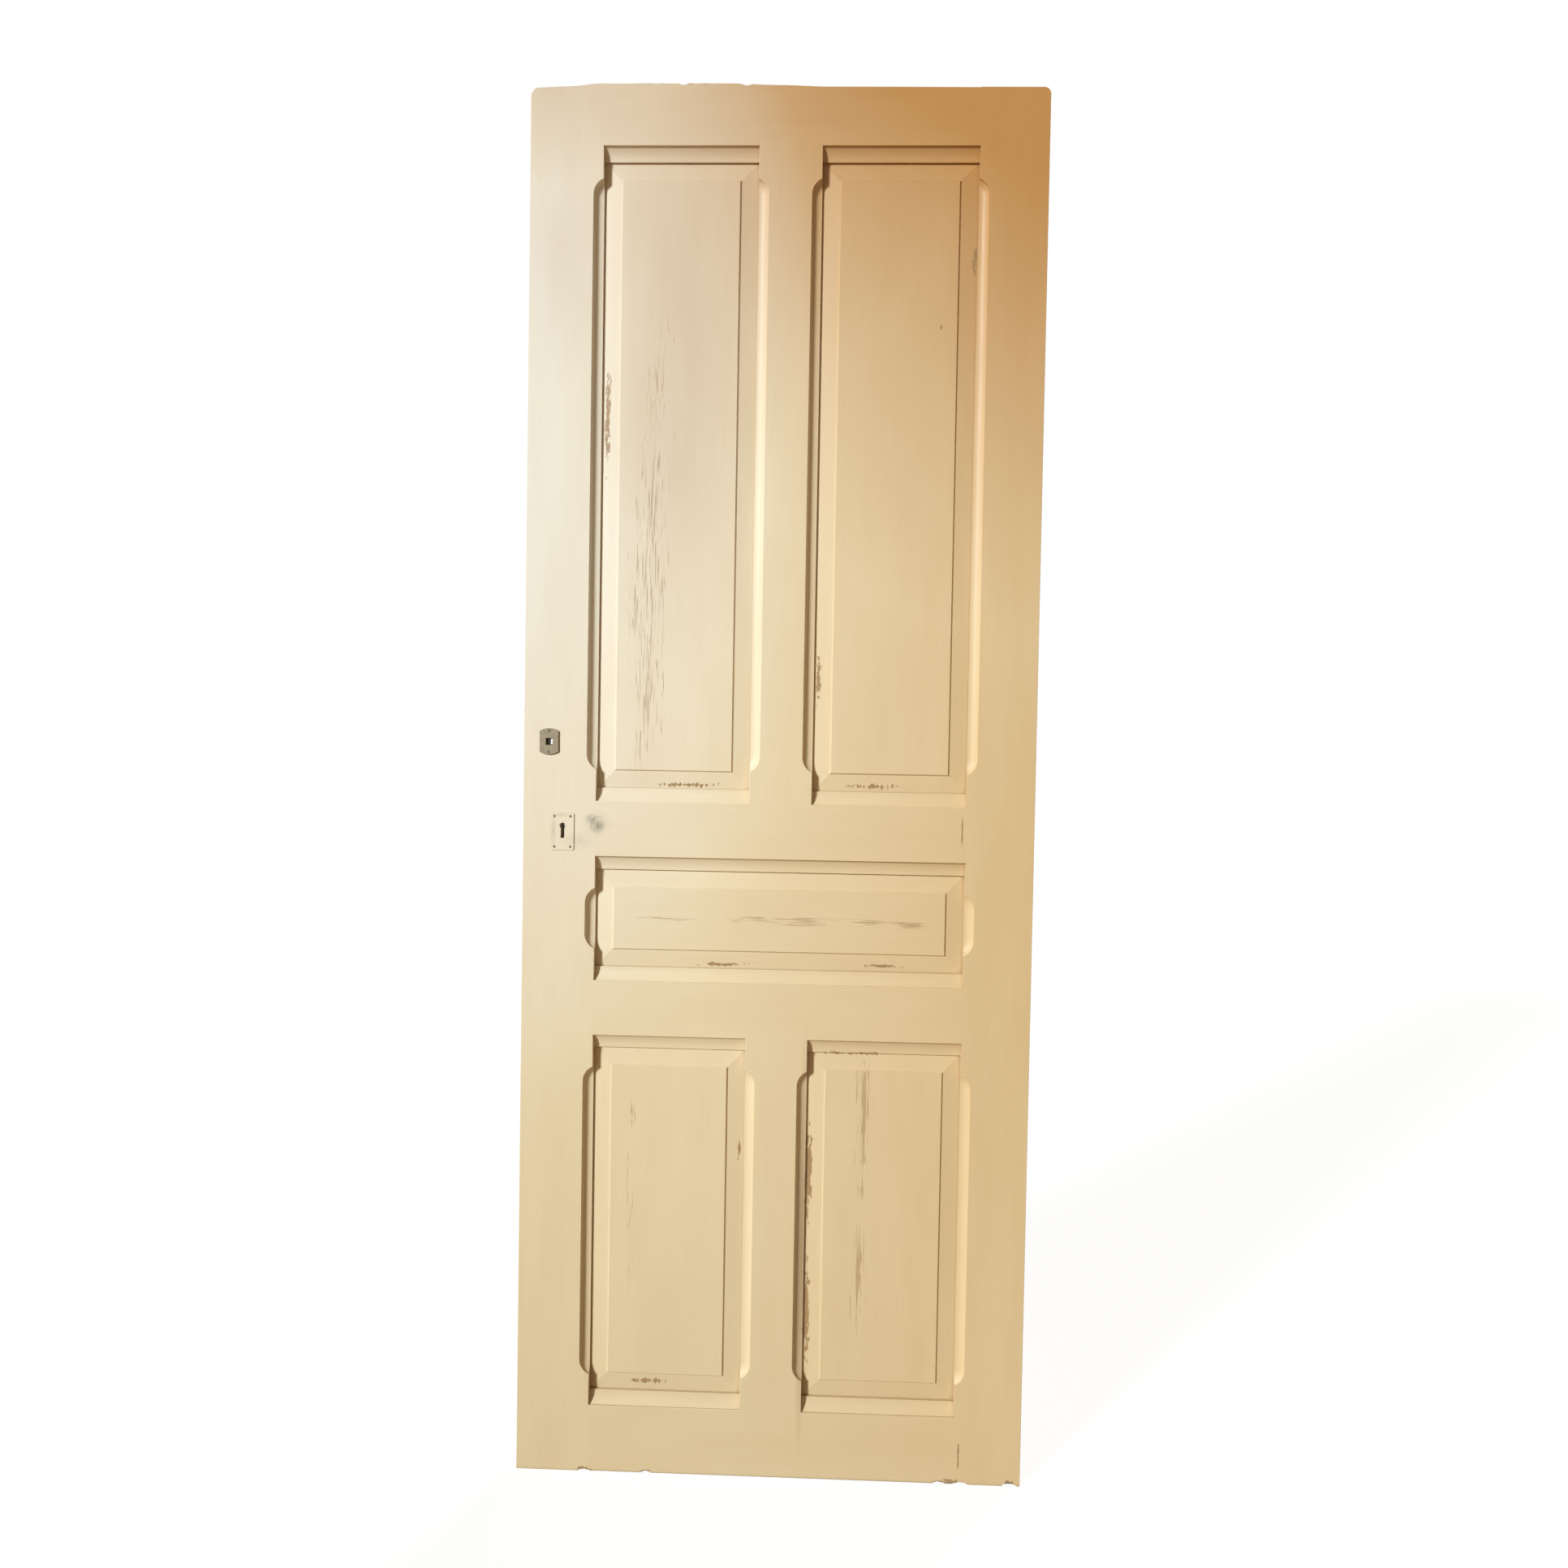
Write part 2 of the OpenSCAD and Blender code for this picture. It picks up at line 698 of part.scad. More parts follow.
// Raised panel between two uprights and two rails, its margins mitred at the corners
module panel(left, right, opening) {
    w = right - left;
    h = opening[1] - opening[0] - 2 * rail_moulding_w;
    translate([(left + right) / 2, 0, (opening[0] + opening[1]) / 2])
        intersection() {
            translate([0, 0, -h / 2 - tongue_l]) linear_extrude(h + 2 * tongue_l) panel_section(w);
            translate([w / 2 + tongue_l, 0, 0]) rotate([0, -90, 0])
                linear_extrude(w + 2 * tongue_l) panel_section(h);
        }
}

module upper_left_panel() {
    color(paint) panel(opening_left, muntin_left, upper_z);
}

module upper_right_panel() {
    color(paint) panel(muntin_right, opening_right, upper_z);
}

module middle_panel() {
    color(paint) panel(opening_left, opening_right, middle_z);
}

module lower_left_panel() {
    color(paint) panel(opening_left, muntin_left, lower_z);
}

module lower_right_panel() {
    color(paint) panel(muntin_right, opening_right, lower_z);
}

module old_hole_plug() {
    color(paint)
        translate([plug_x, plug_sunk - half_t, plug_z])
            rotate([-90, 0, 0]) cylinder(h = plug_d - plug_sunk, r = plug_r - screw_clearance);
}

// Night bolt, turned by a square spindle

// Rose with bowed ends and a bevelled front
module rose_outline(inset) {
    half_w = rose_w / 2 - inset;
    half_h = rose_h / 2 - inset;
    bow_r = (half_w * half_w + rose_bow * rose_bow) / (2 * rose_bow);
    intersection() {
        square([2 * half_w, 2 * half_h], center = true);
        translate([0, half_h - bow_r]) circle(bow_r);
        translate([0, bow_r - half_h]) circle(bow_r);
    }
}

module spindle_rose() {
    color(iron) difference() {
        translate([spindle_x, -half_t, spindle_z]) {
            along_y(-rose_t + rose_bevel, 0) rose_outline(0);
            along_y(-rose_t, 0) rose_outline(rose_bevel);
        }
        translate([spindle_x - rose_square / 2, -half_t - rose_t - cut, spindle_z - rose_square / 2])
            cube([rose_square, rose_t + 2 * cut, rose_square]);
        rose_screw_places()
            screw(rose_screw_r, rose_screw_head_r, rose_screw_l, screw_clearance);
    }
}

module rose_screws() {
    color(iron)
        rose_screw_places() slotted_screw(rose_screw_r, rose_screw_head_r, rose_screw_l);
}

module night_bolt_case() {
    inside = [night_case_z[0] + case_wall, night_case_z[1] - case_wall];
    color(steel) difference() {
        translate([case_front, -case_half, night_case_z[0]])
            cube([night_case_d, case_half + case_inner_half, night_case_z[1] - night_case_z[0]]);
        difference() {
            translate([case_front + case_wall, -case_inner_half, inside[0]])
                cube([night_case_d - 2 * case_wall, case_t, inside[1] - inside[0]]);
            translate([case_front, -case_half, night_case_z[0]])
                cube([case_wall + guide_l, 2 * case_t,
                      night_bolt_z0 - lock_clearance - night_case_z[0]]);
            translate([case_front + night_case_d - case_wall - post_in, -case_half,
                       inside[0] + post_in])
                rotate([-90, 0, 0]) cylinder(h = 2 * case_t, r = post_r);
        }
        spindle_cut(journal_r + lock_clearance, -case_t, case_t);
        bolt_window(night_bolt_z0, night_bolt_z1);
        night_cover_screw_places()
            screw(cover_screw_r, cover_screw_head_r, cover_screw_l, screw_clearance);
    }
}

module night_bolt_cover() {
    color(steel) difference() {
        translate([case_front, case_inner_half, night_case_z[0]])
            cube([night_case_d, case_wall, night_case_z[1] - night_case_z[0]]);
        spindle_cut(journal_r + lock_clearance, -case_t, case_t);
        night_cover_screw_places()
            screw(cover_screw_r, cover_screw_head_r, cover_screw_l, screw_clearance);
    }
}

// Forend plate with its bolt window and screw holes
module forend(level, z0, z1) {
    difference() {
        translate([lock_edge, -forend_w / 2, level - forend_l / 2])
            cube([forend_t, forend_w, forend_l]);
        bolt_window(z0, z1);
        forend_screw_places(level) screw(screw_r, screw_head_r, screw_l, screw_clearance);
    }
}

module night_bolt_forend() {
    color(steel) forend(night_forend_z, night_bolt_z0, night_bolt_z1);
}

// Follower: a hub with a square hole, journals in the case walls, and a finger for the bolt
module follower() {
    hub_half = case_inner_half - lock_clearance;
    finger_half = bolt_half - 1;
    color(iron) difference() {
        union() {
            spindle_cut(hub_r, -hub_half, hub_half);
            spindle_cut(journal_r, -case_half, case_half);
            translate([spindle_x, 0, spindle_z]) rotate([0, follower_turn / 2, 0]) {
                translate([-finger_neck_w / 2, -finger_half, 0])
                    cube([finger_neck_w, 2 * finger_half, finger_reach]);
                translate([0, -finger_half, finger_reach]) rotate([-90, 0, 0])
                    cylinder(h = 2 * finger_half, r = finger_tip_r);
            }
        }
        translate([spindle_x - spindle_square / 2, -case_t, spindle_z - spindle_square / 2])
            cube([spindle_square, 2 * case_t, spindle_square]);
    }
}

module night_bolt() {
    color(steel) difference() {
        translate([bolt_head, -bolt_half, night_bolt_z0])
            cube([night_bolt_tail - bolt_head, bolt_t, night_bolt_h]);
        translate([spindle_x + finger_swing - notch_half, -bolt_t, night_bolt_z0 - cut])
            cube([2 * notch_half, 2 * bolt_t, notch_top - night_bolt_z0 + cut]);
    }
}

// Deadlock, worked by a key

module keyhole_plate() {
    x = key_plate_w / 2 - key_plate_corner_r;
    z = key_plate_h / 2 - key_plate_corner_r;
    color(paint) difference() {
        translate([key_x, 0, key_plate_z()]) along_y(-half_t - key_plate_t, -half_t) {
            square([key_plate_w, 2 * z], center = true);
            square([2 * x, key_plate_h], center = true);
            for (sx = [-x, x], sz = [-z, z]) translate([sx, sz]) circle(key_plate_corner_r);
        }
        keyhole_cut(-half_t - key_plate_t - cut, -half_t + cut);
        key_pin_places() key_pin(screw_clearance);
    }
}

module keyhole_plate_pins() {
    color(paint) key_pin_places() key_pin();
}

module deadlock_case() {
    inside = [dead_case_z[0] + case_wall, dead_case_z[1] - case_wall];
    color(steel) difference() {
        translate([case_front, -case_half, dead_case_z[0]])
            cube([dead_case_d, case_half + case_inner_half, dead_case_z[1] - dead_case_z[0]]);
        difference() {
            translate([case_front + case_wall, -case_inner_half, inside[0]])
                cube([dead_case_d - 2 * case_wall, case_t, inside[1] - inside[0]]);
            for (x = [case_wall + post_in, dead_case_d - case_wall - post_in])
                translate([case_front + x, -case_half, inside[0] + post_in])
                    rotate([-90, 0, 0]) cylinder(h = 2 * case_t, r = post_r);
            translate([stump_x, -case_half, stump_z])
                rotate([-90, 0, 0]) cylinder(h = 2 * case_t, r = stump_r);
        }
        keyhole_cut(-case_t, case_t);
        bolt_window(dead_bolt_z0, dead_bolt_z1);
        dead_cover_screw_places()
            screw(cover_screw_r, cover_screw_head_r, cover_screw_l, screw_clearance);
    }
}

module deadlock_cover() {
    color(steel) difference() {
        translate([case_front, case_inner_half, dead_case_z[0]])
            cube([dead_case_d, case_wall, dead_case_z[1] - dead_case_z[0]]);
        keyhole_cut(-case_t, case_t);
        dead_cover_screw_places()
            screw(cover_screw_r, cover_screw_head_r, cover_screw_l, screw_clearance);
    }
}

module deadlock_forend() {
    color(steel) forend(dead_forend_z, dead_bolt_z0, dead_bolt_z1);
}

// Dead bolt with a guide slot for the stump and a talon for the key's bit
module dead_bolt() {
    slot_end = stump_x + dead_bolt_throw;
    color(steel) difference() {
        translate([bolt_head, -bolt_half, dead_bolt_z0])
            cube([dead_bolt_tail - bolt_head, bolt_t, dead_bolt_h]);
        along_y(-bolt_t, bolt_t) {
            translate([stump_x, stump_z]) circle(guide_slot_r);
            translate([slot_end, stump_z]) circle(guide_slot_r);
            translate([stump_x, stump_z - guide_slot_r])
                square([slot_end - stump_x, 2 * guide_slot_r]);
            translate([talon_x, dead_bolt_z0]) circle(talon_r);
        }
    }
}

module dead_bolt_spring() {
    roof = dead_case_z[1] - case_wall;
    middle = dead_bolt_z1 + lock_clearance + spring_r;
    color(iron)
        along_y(-spring_w / 2, spring_w / 2)
            intersection() {
                translate([spring_x, middle])
                    difference() {
                        circle(spring_r);
                        circle(spring_r - spring_t);
                    }
                translate([spring_x - spring_r, roof - spring_r])
                    square([2 * spring_r, spring_r]);
            }
}

module forend_screws() {
    color(steel)
        for (level = [night_forend_z, dead_forend_z])
            forend_screw_places(level) slotted_screw(screw_r, screw_head_r, screw_l);
}

module cover_screws() {
    color(steel) {
        night_cover_screw_places()
            slotted_screw(cover_screw_r, cover_screw_head_r, cover_screw_l);
        dead_cover_screw_places()
            slotted_screw(cover_screw_r, cover_screw_head_r, cover_screw_l);
    }
}

// Hinge halves of the lift-off kind: the knuckle drops over a pin on the frame

module hinge_half(level) {
    color(iron) difference() {
        union() {
            translate([hinge_edge - hinge_plate_t, half_t - hinge_plate_w, level - hinge_l / 2])
                cube([hinge_plate_t, hinge_plate_w, hinge_l]);
            translate([hinge_edge - hinge_plate_t, half_t - cut, level])
                cube([hinge_plate_t, knuckle_y - half_t + cut, knuckle_l]);
            translate([knuckle_x, knuckle_y, level])
                rotate_extrude()
                    polygon([[0, 0], [knuckle_r, 0], [knuckle_r, knuckle_l - knuckle_chamfer],
                             [knuckle_r - knuckle_chamfer, knuckle_l], [0, knuckle_l]]);
        }
        translate([knuckle_x, knuckle_y, level - cut])
            cylinder(h = knuckle_l + 2 * cut, r = pin_bore_r);
        hinge_screw_places(level) screw(screw_r, screw_head_r, screw_l, screw_clearance);
    }
}

module top_hinge() {
    hinge_half(top_hinge_z);
}

module middle_hinge() {
    hinge_half(middle_hinge_z);
}

module bottom_hinge() {
    hinge_half(bottom_hinge_z);
}

module hinge_screws() {
    color(iron)
        for (level = [top_hinge_z, middle_hinge_z, bottom_hinge_z])
            hinge_screw_places(level) slotted_screw(screw_r, screw_head_r, screw_l);
}

lock_stile();
hinge_stile();
top_rail();
lock_rail();
middle_rail();
bottom_rail();
upper_muntin();
lower_muntin();
upper_left_panel();
upper_right_panel();
middle_panel();
lower_left_panel();
lower_right_panel();
tenon_wedges();
old_hole_plug();
spindle_rose();
rose_screws();
night_bolt_case();
night_bolt_cover();
night_bolt_forend();
follower();
night_bolt();
keyhole_plate();
keyhole_plate_pins();
deadlock_case();
deadlock_cover();
deadlock_forend();
dead_bolt();
dead_bolt_spring();
forend_screws();
cover_screws();
top_hinge();
middle_hinge();
bottom_hinge();
hinge_screws();
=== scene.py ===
"""A reclaimed panelled exterior door leaf, dressed and lit as photographed.

Lengths ending in _MM and the lists of wear and of painted light and shade are in millimetres:
x from the leaf's middle, z from its bottom edge. The street face looks along -Y and the lock edge
is at -X.
"""

import json
import math

import bmesh
import bpy
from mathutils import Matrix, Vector, noise

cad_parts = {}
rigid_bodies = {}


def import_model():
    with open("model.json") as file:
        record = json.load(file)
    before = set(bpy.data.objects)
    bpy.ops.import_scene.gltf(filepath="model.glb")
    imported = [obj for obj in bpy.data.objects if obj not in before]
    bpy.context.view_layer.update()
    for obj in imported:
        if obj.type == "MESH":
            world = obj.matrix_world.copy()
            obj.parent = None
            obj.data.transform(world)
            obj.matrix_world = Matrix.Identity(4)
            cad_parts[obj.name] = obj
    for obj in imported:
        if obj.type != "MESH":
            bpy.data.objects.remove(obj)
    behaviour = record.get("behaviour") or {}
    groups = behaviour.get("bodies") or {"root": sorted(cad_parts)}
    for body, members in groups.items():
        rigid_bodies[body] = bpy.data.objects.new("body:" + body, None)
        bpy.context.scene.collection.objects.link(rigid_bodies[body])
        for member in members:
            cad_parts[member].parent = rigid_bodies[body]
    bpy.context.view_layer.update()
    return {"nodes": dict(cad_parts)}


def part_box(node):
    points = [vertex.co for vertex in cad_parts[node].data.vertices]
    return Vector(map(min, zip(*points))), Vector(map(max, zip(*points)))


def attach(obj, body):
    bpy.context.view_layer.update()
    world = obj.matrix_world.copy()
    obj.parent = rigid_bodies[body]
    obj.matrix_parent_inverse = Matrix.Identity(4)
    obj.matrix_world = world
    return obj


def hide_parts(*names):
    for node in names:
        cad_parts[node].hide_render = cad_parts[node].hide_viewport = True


MM = 0.001
ACROSS, THROUGH, UP = (1, 0, 0), (0, 1, 0), (0, 0, 1)

# The CAD frame

for thing in list(bpy.data.objects):
    bpy.data.objects.remove(thing)

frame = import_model()


def extent(node, axis):
    """Where a CAD piece starts and ends along x, y or z, in millimetres."""
    return [getattr(corner, axis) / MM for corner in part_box(node)]


# The leaf's pieces

UPRIGHT_MEMBERS = ("lock_stile", "hinge_stile", "upper_muntin", "lower_muntin")
LEVEL_MEMBERS = ("top_rail", "lock_rail", "middle_rail", "bottom_rail")
UPRIGHT_PANELS = (
    "upper_left_panel",
    "upper_right_panel",
    "lower_left_panel",
    "lower_right_panel",
)
LEVEL_PANELS = ("middle_panel",)
IRON_NODES = (
    "keyhole_plate_pins",
    "rose_screws",
    "follower",
    "top_hinge",
    "middle_hinge",
    "bottom_hinge",
    "hinge_screws",
)
STEEL_NODES = (
    "night_bolt_case",
    "night_bolt_cover",
    "night_bolt_forend",
    "night_bolt",
    "deadlock_case",
    "deadlock_cover",
    "deadlock_forend",
    "dead_bolt",
    "dead_bolt_spring",
    "forend_screws",
    "cover_screws",
)

# The framing as the CAD solids have it. A rail's flat is what its mouldings leave.
RAIL_MOULDING_MM = 19
LEAF_LEFT_MM, LOCK_STILE_INNER_MM = extent("lock_stile", "x")
HINGE_STILE_INNER_MM, LEAF_RIGHT_MM = extent("hinge_stile", "x")
LEAF_BOTTOM_MM, LEAF_TOP_MM = extent("lock_stile", "z")
FACE_HALF_MM = extent("lock_stile", "y")[1]
MUNTIN_MM = extent("lower_muntin", "x")
BOTTOM_FLAT_MM = (LEAF_BOTTOM_MM, extent("bottom_rail", "z")[1] - RAIL_MOULDING_MM)
MIDDLE_FLAT_MM, LOCK_FLAT_MM = [
    (low + RAIL_MOULDING_MM, high - RAIL_MOULDING_MM)
    for low, high in (extent("middle_rail", "z"), extent("lock_rail", "z"))
]
TOP_FLAT_MM = (extent("top_rail", "z")[0] + RAIL_MOULDING_MM, LEAF_TOP_MM)
RAIL_FLATS_MM = (BOTTOM_FLAT_MM, MIDDLE_FLAT_MM, LOCK_FLAT_MM, TOP_FLAT_MM)
MIDDLE_OPENING_MM = (MIDDLE_FLAT_MM[1], LOCK_FLAT_MM[0])

# How far decades of knocks and repainting have rounded the arrises, and in how many facets.
TOP_CORNER_MM = 10
OUTER_ARRIS_MM = 1.8
MOULDING_ARRIS_MM = 0.7
ARRIS_FACETS = {TOP_CORNER_MM: 5, OUTER_ARRIS_MM: 3, MOULDING_ARRIS_MM: 3}
ROUND_PROFILE = 0.5
# Edges flatter than the first angle have no arris, and shading breaks at the second.
ARRIS_FROM = math.radians(25)
SHARP_FROM = math.radians(38)
# Faces this little apart are one flat, and a normal this close to an axis is a flat's.
FLAT_WITHIN = math.radians(0.3)
FLAT_NORMAL = 0.9995
# Lengths nearer than these are the same: when edges are sought, strips are cut, points merged.
SAME_PLACE_MM = 0.05
TOUCHING_MM = 0.01
MERGED_MM = 0.001

# The planed top edge rises and falls: x, and how far from true. The band below it moves with
# it, in slices.
TOP_EDGE_MM = [(-368, -4), (-315, -2), (-262, 2.4), (-84, 2.4), (-15, 0), (60, -2.4), (368, -3.6)]
TOP_SLICE_MM = 15
TOP_BAND_MM = 1.5 * TOP_CORNER_MM
# Bites knocked out of the street face's bottom and top edges: x, edge, reach along and up.
BITES_MM = [
    (-268, LEAF_BOTTOM_MM, 9, 4),
    (-177, LEAF_BOTTOM_MM, 8, 4),
    (250, LEAF_BOTTOM_MM, 9, 4),
    (281, LEAF_BOTTOM_MM, 12, 5),
    (352, LEAF_BOTTOM_MM, 11, 8),
    (-150, LEAF_TOP_MM, 7, 3),
    (-62, LEAF_TOP_MM, 9, 3),
]
BITE_DEPTH_MM = 6
BITE_BACK_MM = BITE_DEPTH_MM - FACE_HALF_MM
BITE_STRIP_MM = 20
BITE_STEPS = (-1, -0.6, -0.3, 0.05, 0.4, 0.7, 1)
# A bite's reach up varies about its mean share by noise of this grain.
BITE_MEAN, BITE_SPREAD, BITE_GRAIN_MM = 0.8, 0.5, 2.5

# A panel's half section, from the tongue's edge in to the field's arris.
PANEL_SECTION_MM = {
    "Tongue Length": 10,
    "Tongue Half": 6.85,
    "Margin Width": 25,
    "Margin Rise": 3,
    "Step Run": 1.5,
    "Step Height": 2.5,
    "Arris": 0.5,
}

# Where the paint is worn and tinted, and where light and shade are painted on it

# Each patch: middle x and z, half width, half height, strength.
# Age and painted shade: ochre over the side away from the key light.
AGED_AND_SHADED_SIDE = [(400, 900, 520, 1600, 0.75)]
SMUDGED = [
    (-259, 947, 13, 13, 1.4),
    (-269, 957, 10, 9, 1.0),
    (-261, 950, 24, 22, 0.5),
    (-285, 925, 30, 16, 0.4),
    (-324, 938, 6, 30, 0.7),
    (-312, 962, 18, 4, 0.6),
]
# Age and painted warm light: orange towards the top right.
YELLOWED_AND_WARM_LIT = [
    (400, 2180, 720, 950, 1.35),
    (-60, 2120, 420, 520, 0.4),
    (340, 1680, 120, 450, 0.16),
]
# Painted light: paler over the lock side, which faces the key light.
PALE_AND_LIT_SIDE = [(-420, 1450, 500, 950, 1.1), (-330, 1780, 80, 240, 0.5)]
# Painted shade: darker patches at the upper left.
PAINTED_SHADE_PATCHES = [
    (-150, 1760, 190, 420, 0.55),
    (-340, 2020, 150, 160, 0.7),
    (-150, 1460, 130, 300, 0.35),
    (-330, 1780, 80, 220, 0.35),
]
# Dirt and painted shade: a brown darkening along a moulding that faces away from the key light.
DIRT_AND_SHADE_MOULDING = [(46, 345, 9, 330, 0.62)]
FLAME_CRACKS = [
    (-182, 1600, 30, 110, 0.55),
    (-184, 1420, 36, 170, 0.75),
    (-192, 1250, 36, 170, 0.85),
    (-190, 1110, 26, 110, 0.7),
    (132, 530, 17, 120, 0.95),
    (132, 520, 4, 120, 1.0),
    (132, 424, 6, 16, 1.4),
    (129, 290, 17, 90, 1.0),
    (129, 300, 5, 90, 1.1),
    (-206, 400, 12, 170, 0.5),
]
BOARD_CRACKS = [
    (-144, 812, 110, 6, 1.0),
    (-30, 815, 50, 7, 1.5),
    (45, 813, 60, 10, 1.6),
    (128, 813, 46, 8, 1.6),
    (195, 812, 34, 10, 1.6),
]
CHIPS = [
    (-254, 1531, 6, 105, 1.0),
    (56, 1165, 6, 48, 1.0),
    (267, 1756, 5, 40, 0.9),
    (221, 1665, 3, 4, 0.9),
    (-132, 1008, 75, 5, 0.8),
    (136, 1010, 58, 5, 0.8),
    (-73, 748, 48, 5, 0.9),
    (155, 751, 36, 5, 0.9),
    (-48, 477, 4, 22, 1.0),
    (-176, 131, 44, 6, 0.9),
    (54, 450, 8, 95, 1.1),
    (54, 235, 7, 115, 1.0),
    (110, 623, 60, 4, 0.9),
    (-150, 2003, 130, 4, 0.7),
    (-267, 2, 14, 7, 1.0),
    (-177, 2, 12, 6, 1.0),
    (266, 2, 28, 7, 1.0),
    (352, 2, 13, 9, 1.2),
    (265, 948, 1.6, 34, 1.2),
    (278, 40, 1.6, 36, 1.2),
]
# A patch reaches through the whole leaf, and where it is fainter than this it opens nothing.
PATCH_DEPTH_M = 1000
PATCH_EDGE = 0.04
# How a patch opens a pattern to bare wood: the patch's weight, where the opening starts and
# where it is full, and how bare it then is.
SPLIT_OPENING = (0.22, 0.69, 0.80, 0.6)
CHIP_OPENING = (0.36, 0.66, 0.71, 1.0)

# The finishes' patterns: width across the grain and length along it, heights and depths.
CLOUD_MM = (40, 180)
BRUSH_MARK_MM = (1.4, 70)
RAGGED_MM = (4, 14)
SPLIT_MM = (2.5, 70)
# The last is how far the darkening of inner corners reaches, partly dirt and partly painted shade.
BRUSH_RIDGE_MM, BARE_DEPTH_MM, CORNER_DARKENING_MM = 0.06, 0.25, 10
BLOTCH_MM, PIT_MM, PIT_DEPTH_MM = 7, 0.8, 0.1
ROUGHNESS_SPREAD = 0.12
GROWTH_RING_MM = 3

# The studio

FLOOR_REACH_M = 15
FLOOR_GLOW = 0.89
FILL_STRENGTH = 0.135
# Each lamp: the direction towards it, strength, colour, and how many degrees wide it looks.
LAMPS = {
    "soft key light": ((-0.62, -0.71, 0.33), 4.1, "#effbff", 10),
    "soft back light": ((0.45, 0.75, 0.48), 2.6, "#fffdf9", 30),
}
# The camera was solved from the leaf's corners in the photograph.
SENSOR_WIDTH_MM, FOCAL_LENGTH_MM = 36, 26.6832
CAMERA_PLACE_M = (0.0626154, -1.6856609, 1.0574975)
CAMERA_TURN_DEG = (88.44013, -0.97118, 1.87225)

# Small helpers

# A Mix node's sockets for colours have the same names as those for its other types.
MIX_FACTOR, MIX_A, MIX_B, MIX_RESULT = 0, 6, 7, 2


def linear(code):
    """An sRGB hex colour as linear RGBA."""
    parts = [int(code[i : i + 2], 16) / 255 for i in (1, 3, 5)]
    return [c / 12.92 if c <= 0.04045 else ((c + 0.055) / 1.055) ** 2.4 for c in parts] + [1.0]


def put(tree, kind, inputs=None, choices=0, **settings):
    """Adds a node with its settings; an input takes a value, or an output socket to link.
    An Index Switch also gets that many choices."""
    node = tree.nodes.new(kind)
    for name, value in settings.items():
        setattr(node, name, value)
    while choices and len(node.index_switch_items) < choices:
        node.index_switch_items.new()
    for key, value in (inputs or {}).items():
        if isinstance(value, bpy.types.NodeSocket):
            tree.links.new(value, node.inputs[key])
        else:
            node.inputs[key].default_value = value
    return node


def blank_material(name):
    """A new material and its emptied node tree."""
    material = bpy.data.materials.new(name)
    material.use_nodes = True
    material.node_tree.nodes.clear()
    return material, material.node_tree


def add_object(name, data):
    """A new object in the scene, at the origin."""
    thing = bpy.data.objects.new(name, data)
    bpy.context.collection.objects.link(thing)
    return thing


# Materials


def worn_patches(tree, place, patches):
    """The summed strength of elliptical patches on the leaf's face, at any depth."""
    total = 0.0
    for x, z, half_width, half_height, strength in patches:
        local = put(
            tree,
            "ShaderNodeMapping",
            {
                "Vector": place,
                "Location": (x * MM, 0, z * MM),
                "Scale": (half_width * MM, PATCH_DEPTH_M, half_height * MM),
            },
            vector_type="TEXTURE",
        ).outputs[0]
        fade = put(
            tree, "ShaderNodeTexGradient", {0: local}, gradient_type="SPHERICAL"
        ).outputs["Fac"]
        total = put(
            tree, "ShaderNodeMath", {0: fade, 1: strength, 2: total}, operation="MULTIPLY_ADD"
        ).outputs[0]
    return total


def along_grain(tree, place, level, size_mm, detail=2.0, roughness=0.5, wander=0.0):
    """Noise whose features have size_mm, their width across the wood's grain and their length
    along it, and wander off it by about half of wander times their width."""
    width, length = [1 / (size * MM) for size in size_mm]
    stretched = put(
        tree,
        "ShaderNodeMapping",
        {"Vector": place, "Scale": (length, width, width) if level else (width, width, length)},
    ).outputs[0]
    return put(
        tree,
        "ShaderNodeTexNoise",
        {
            "Vector": stretched,
            "Scale": 1.0,
            "Detail": detail,
            "Roughness": roughness,
            "Distortion": wander,
        },
    ).outputs["Fac"]


def coat_colour(tree, place, level):
    """The enamel's colour: paler over the first metre up, then regions tinted partly by age and
    partly as painted light and shade, then clouds and brush marks."""
    height = put(tree, "ShaderNodeSeparateXYZ", {0: place}).outputs["Z"]
    colour = put(
        tree,
        "ShaderNodeMix",
        {MIX_FACTOR: height, MIX_A: linear("#dac4a0"), MIX_B: linear("#ead7b6")},
        data_type="RGBA",
    ).outputs[MIX_RESULT]
    # These tints are partly age and partly painted light and shade by region.
    for patches, tint in (
        (AGED_AND_SHADED_SIDE, "#cba670"),
        (YELLOWED_AND_WARM_LIT, "#b9864a"),
        (PALE_AND_LIT_SIDE, "#ede6dd"),
        (PAINTED_SHADE_PATCHES, "#c9b096"),
    ):
        amount = worn_patches(tree, place, patches)
        colour = put(
            tree,
            "ShaderNodeMix",
            {MIX_FACTOR: amount, MIX_A: colour, MIX_B: linear(tint)},
            data_type="RGBA",
        ).outputs[MIX_RESULT]
    for size_mm, darkest in ((CLOUD_MM, "#f7f2ea"), (BRUSH_MARK_MM, "#faf6f0")):
        cloud = along_grain(tree, place, level, size_mm)
        shade = put(
            tree,
            "ShaderNodeMix",
            {MIX_FACTOR: cloud, MIX_A: linear(darkest), MIX_B: linear("#ffffff")},
            data_type="RGBA",
        ).outputs[MIX_RESULT]
        colour = put(
            tree,
            "ShaderNodeMix",
            {MIX_FACTOR: 1.0, MIX_A: colour, MIX_B: shade},
            data_type="RGBA",
            blend_type="MULTIPLY",
        ).outputs[MIX_RESULT]
    return colour


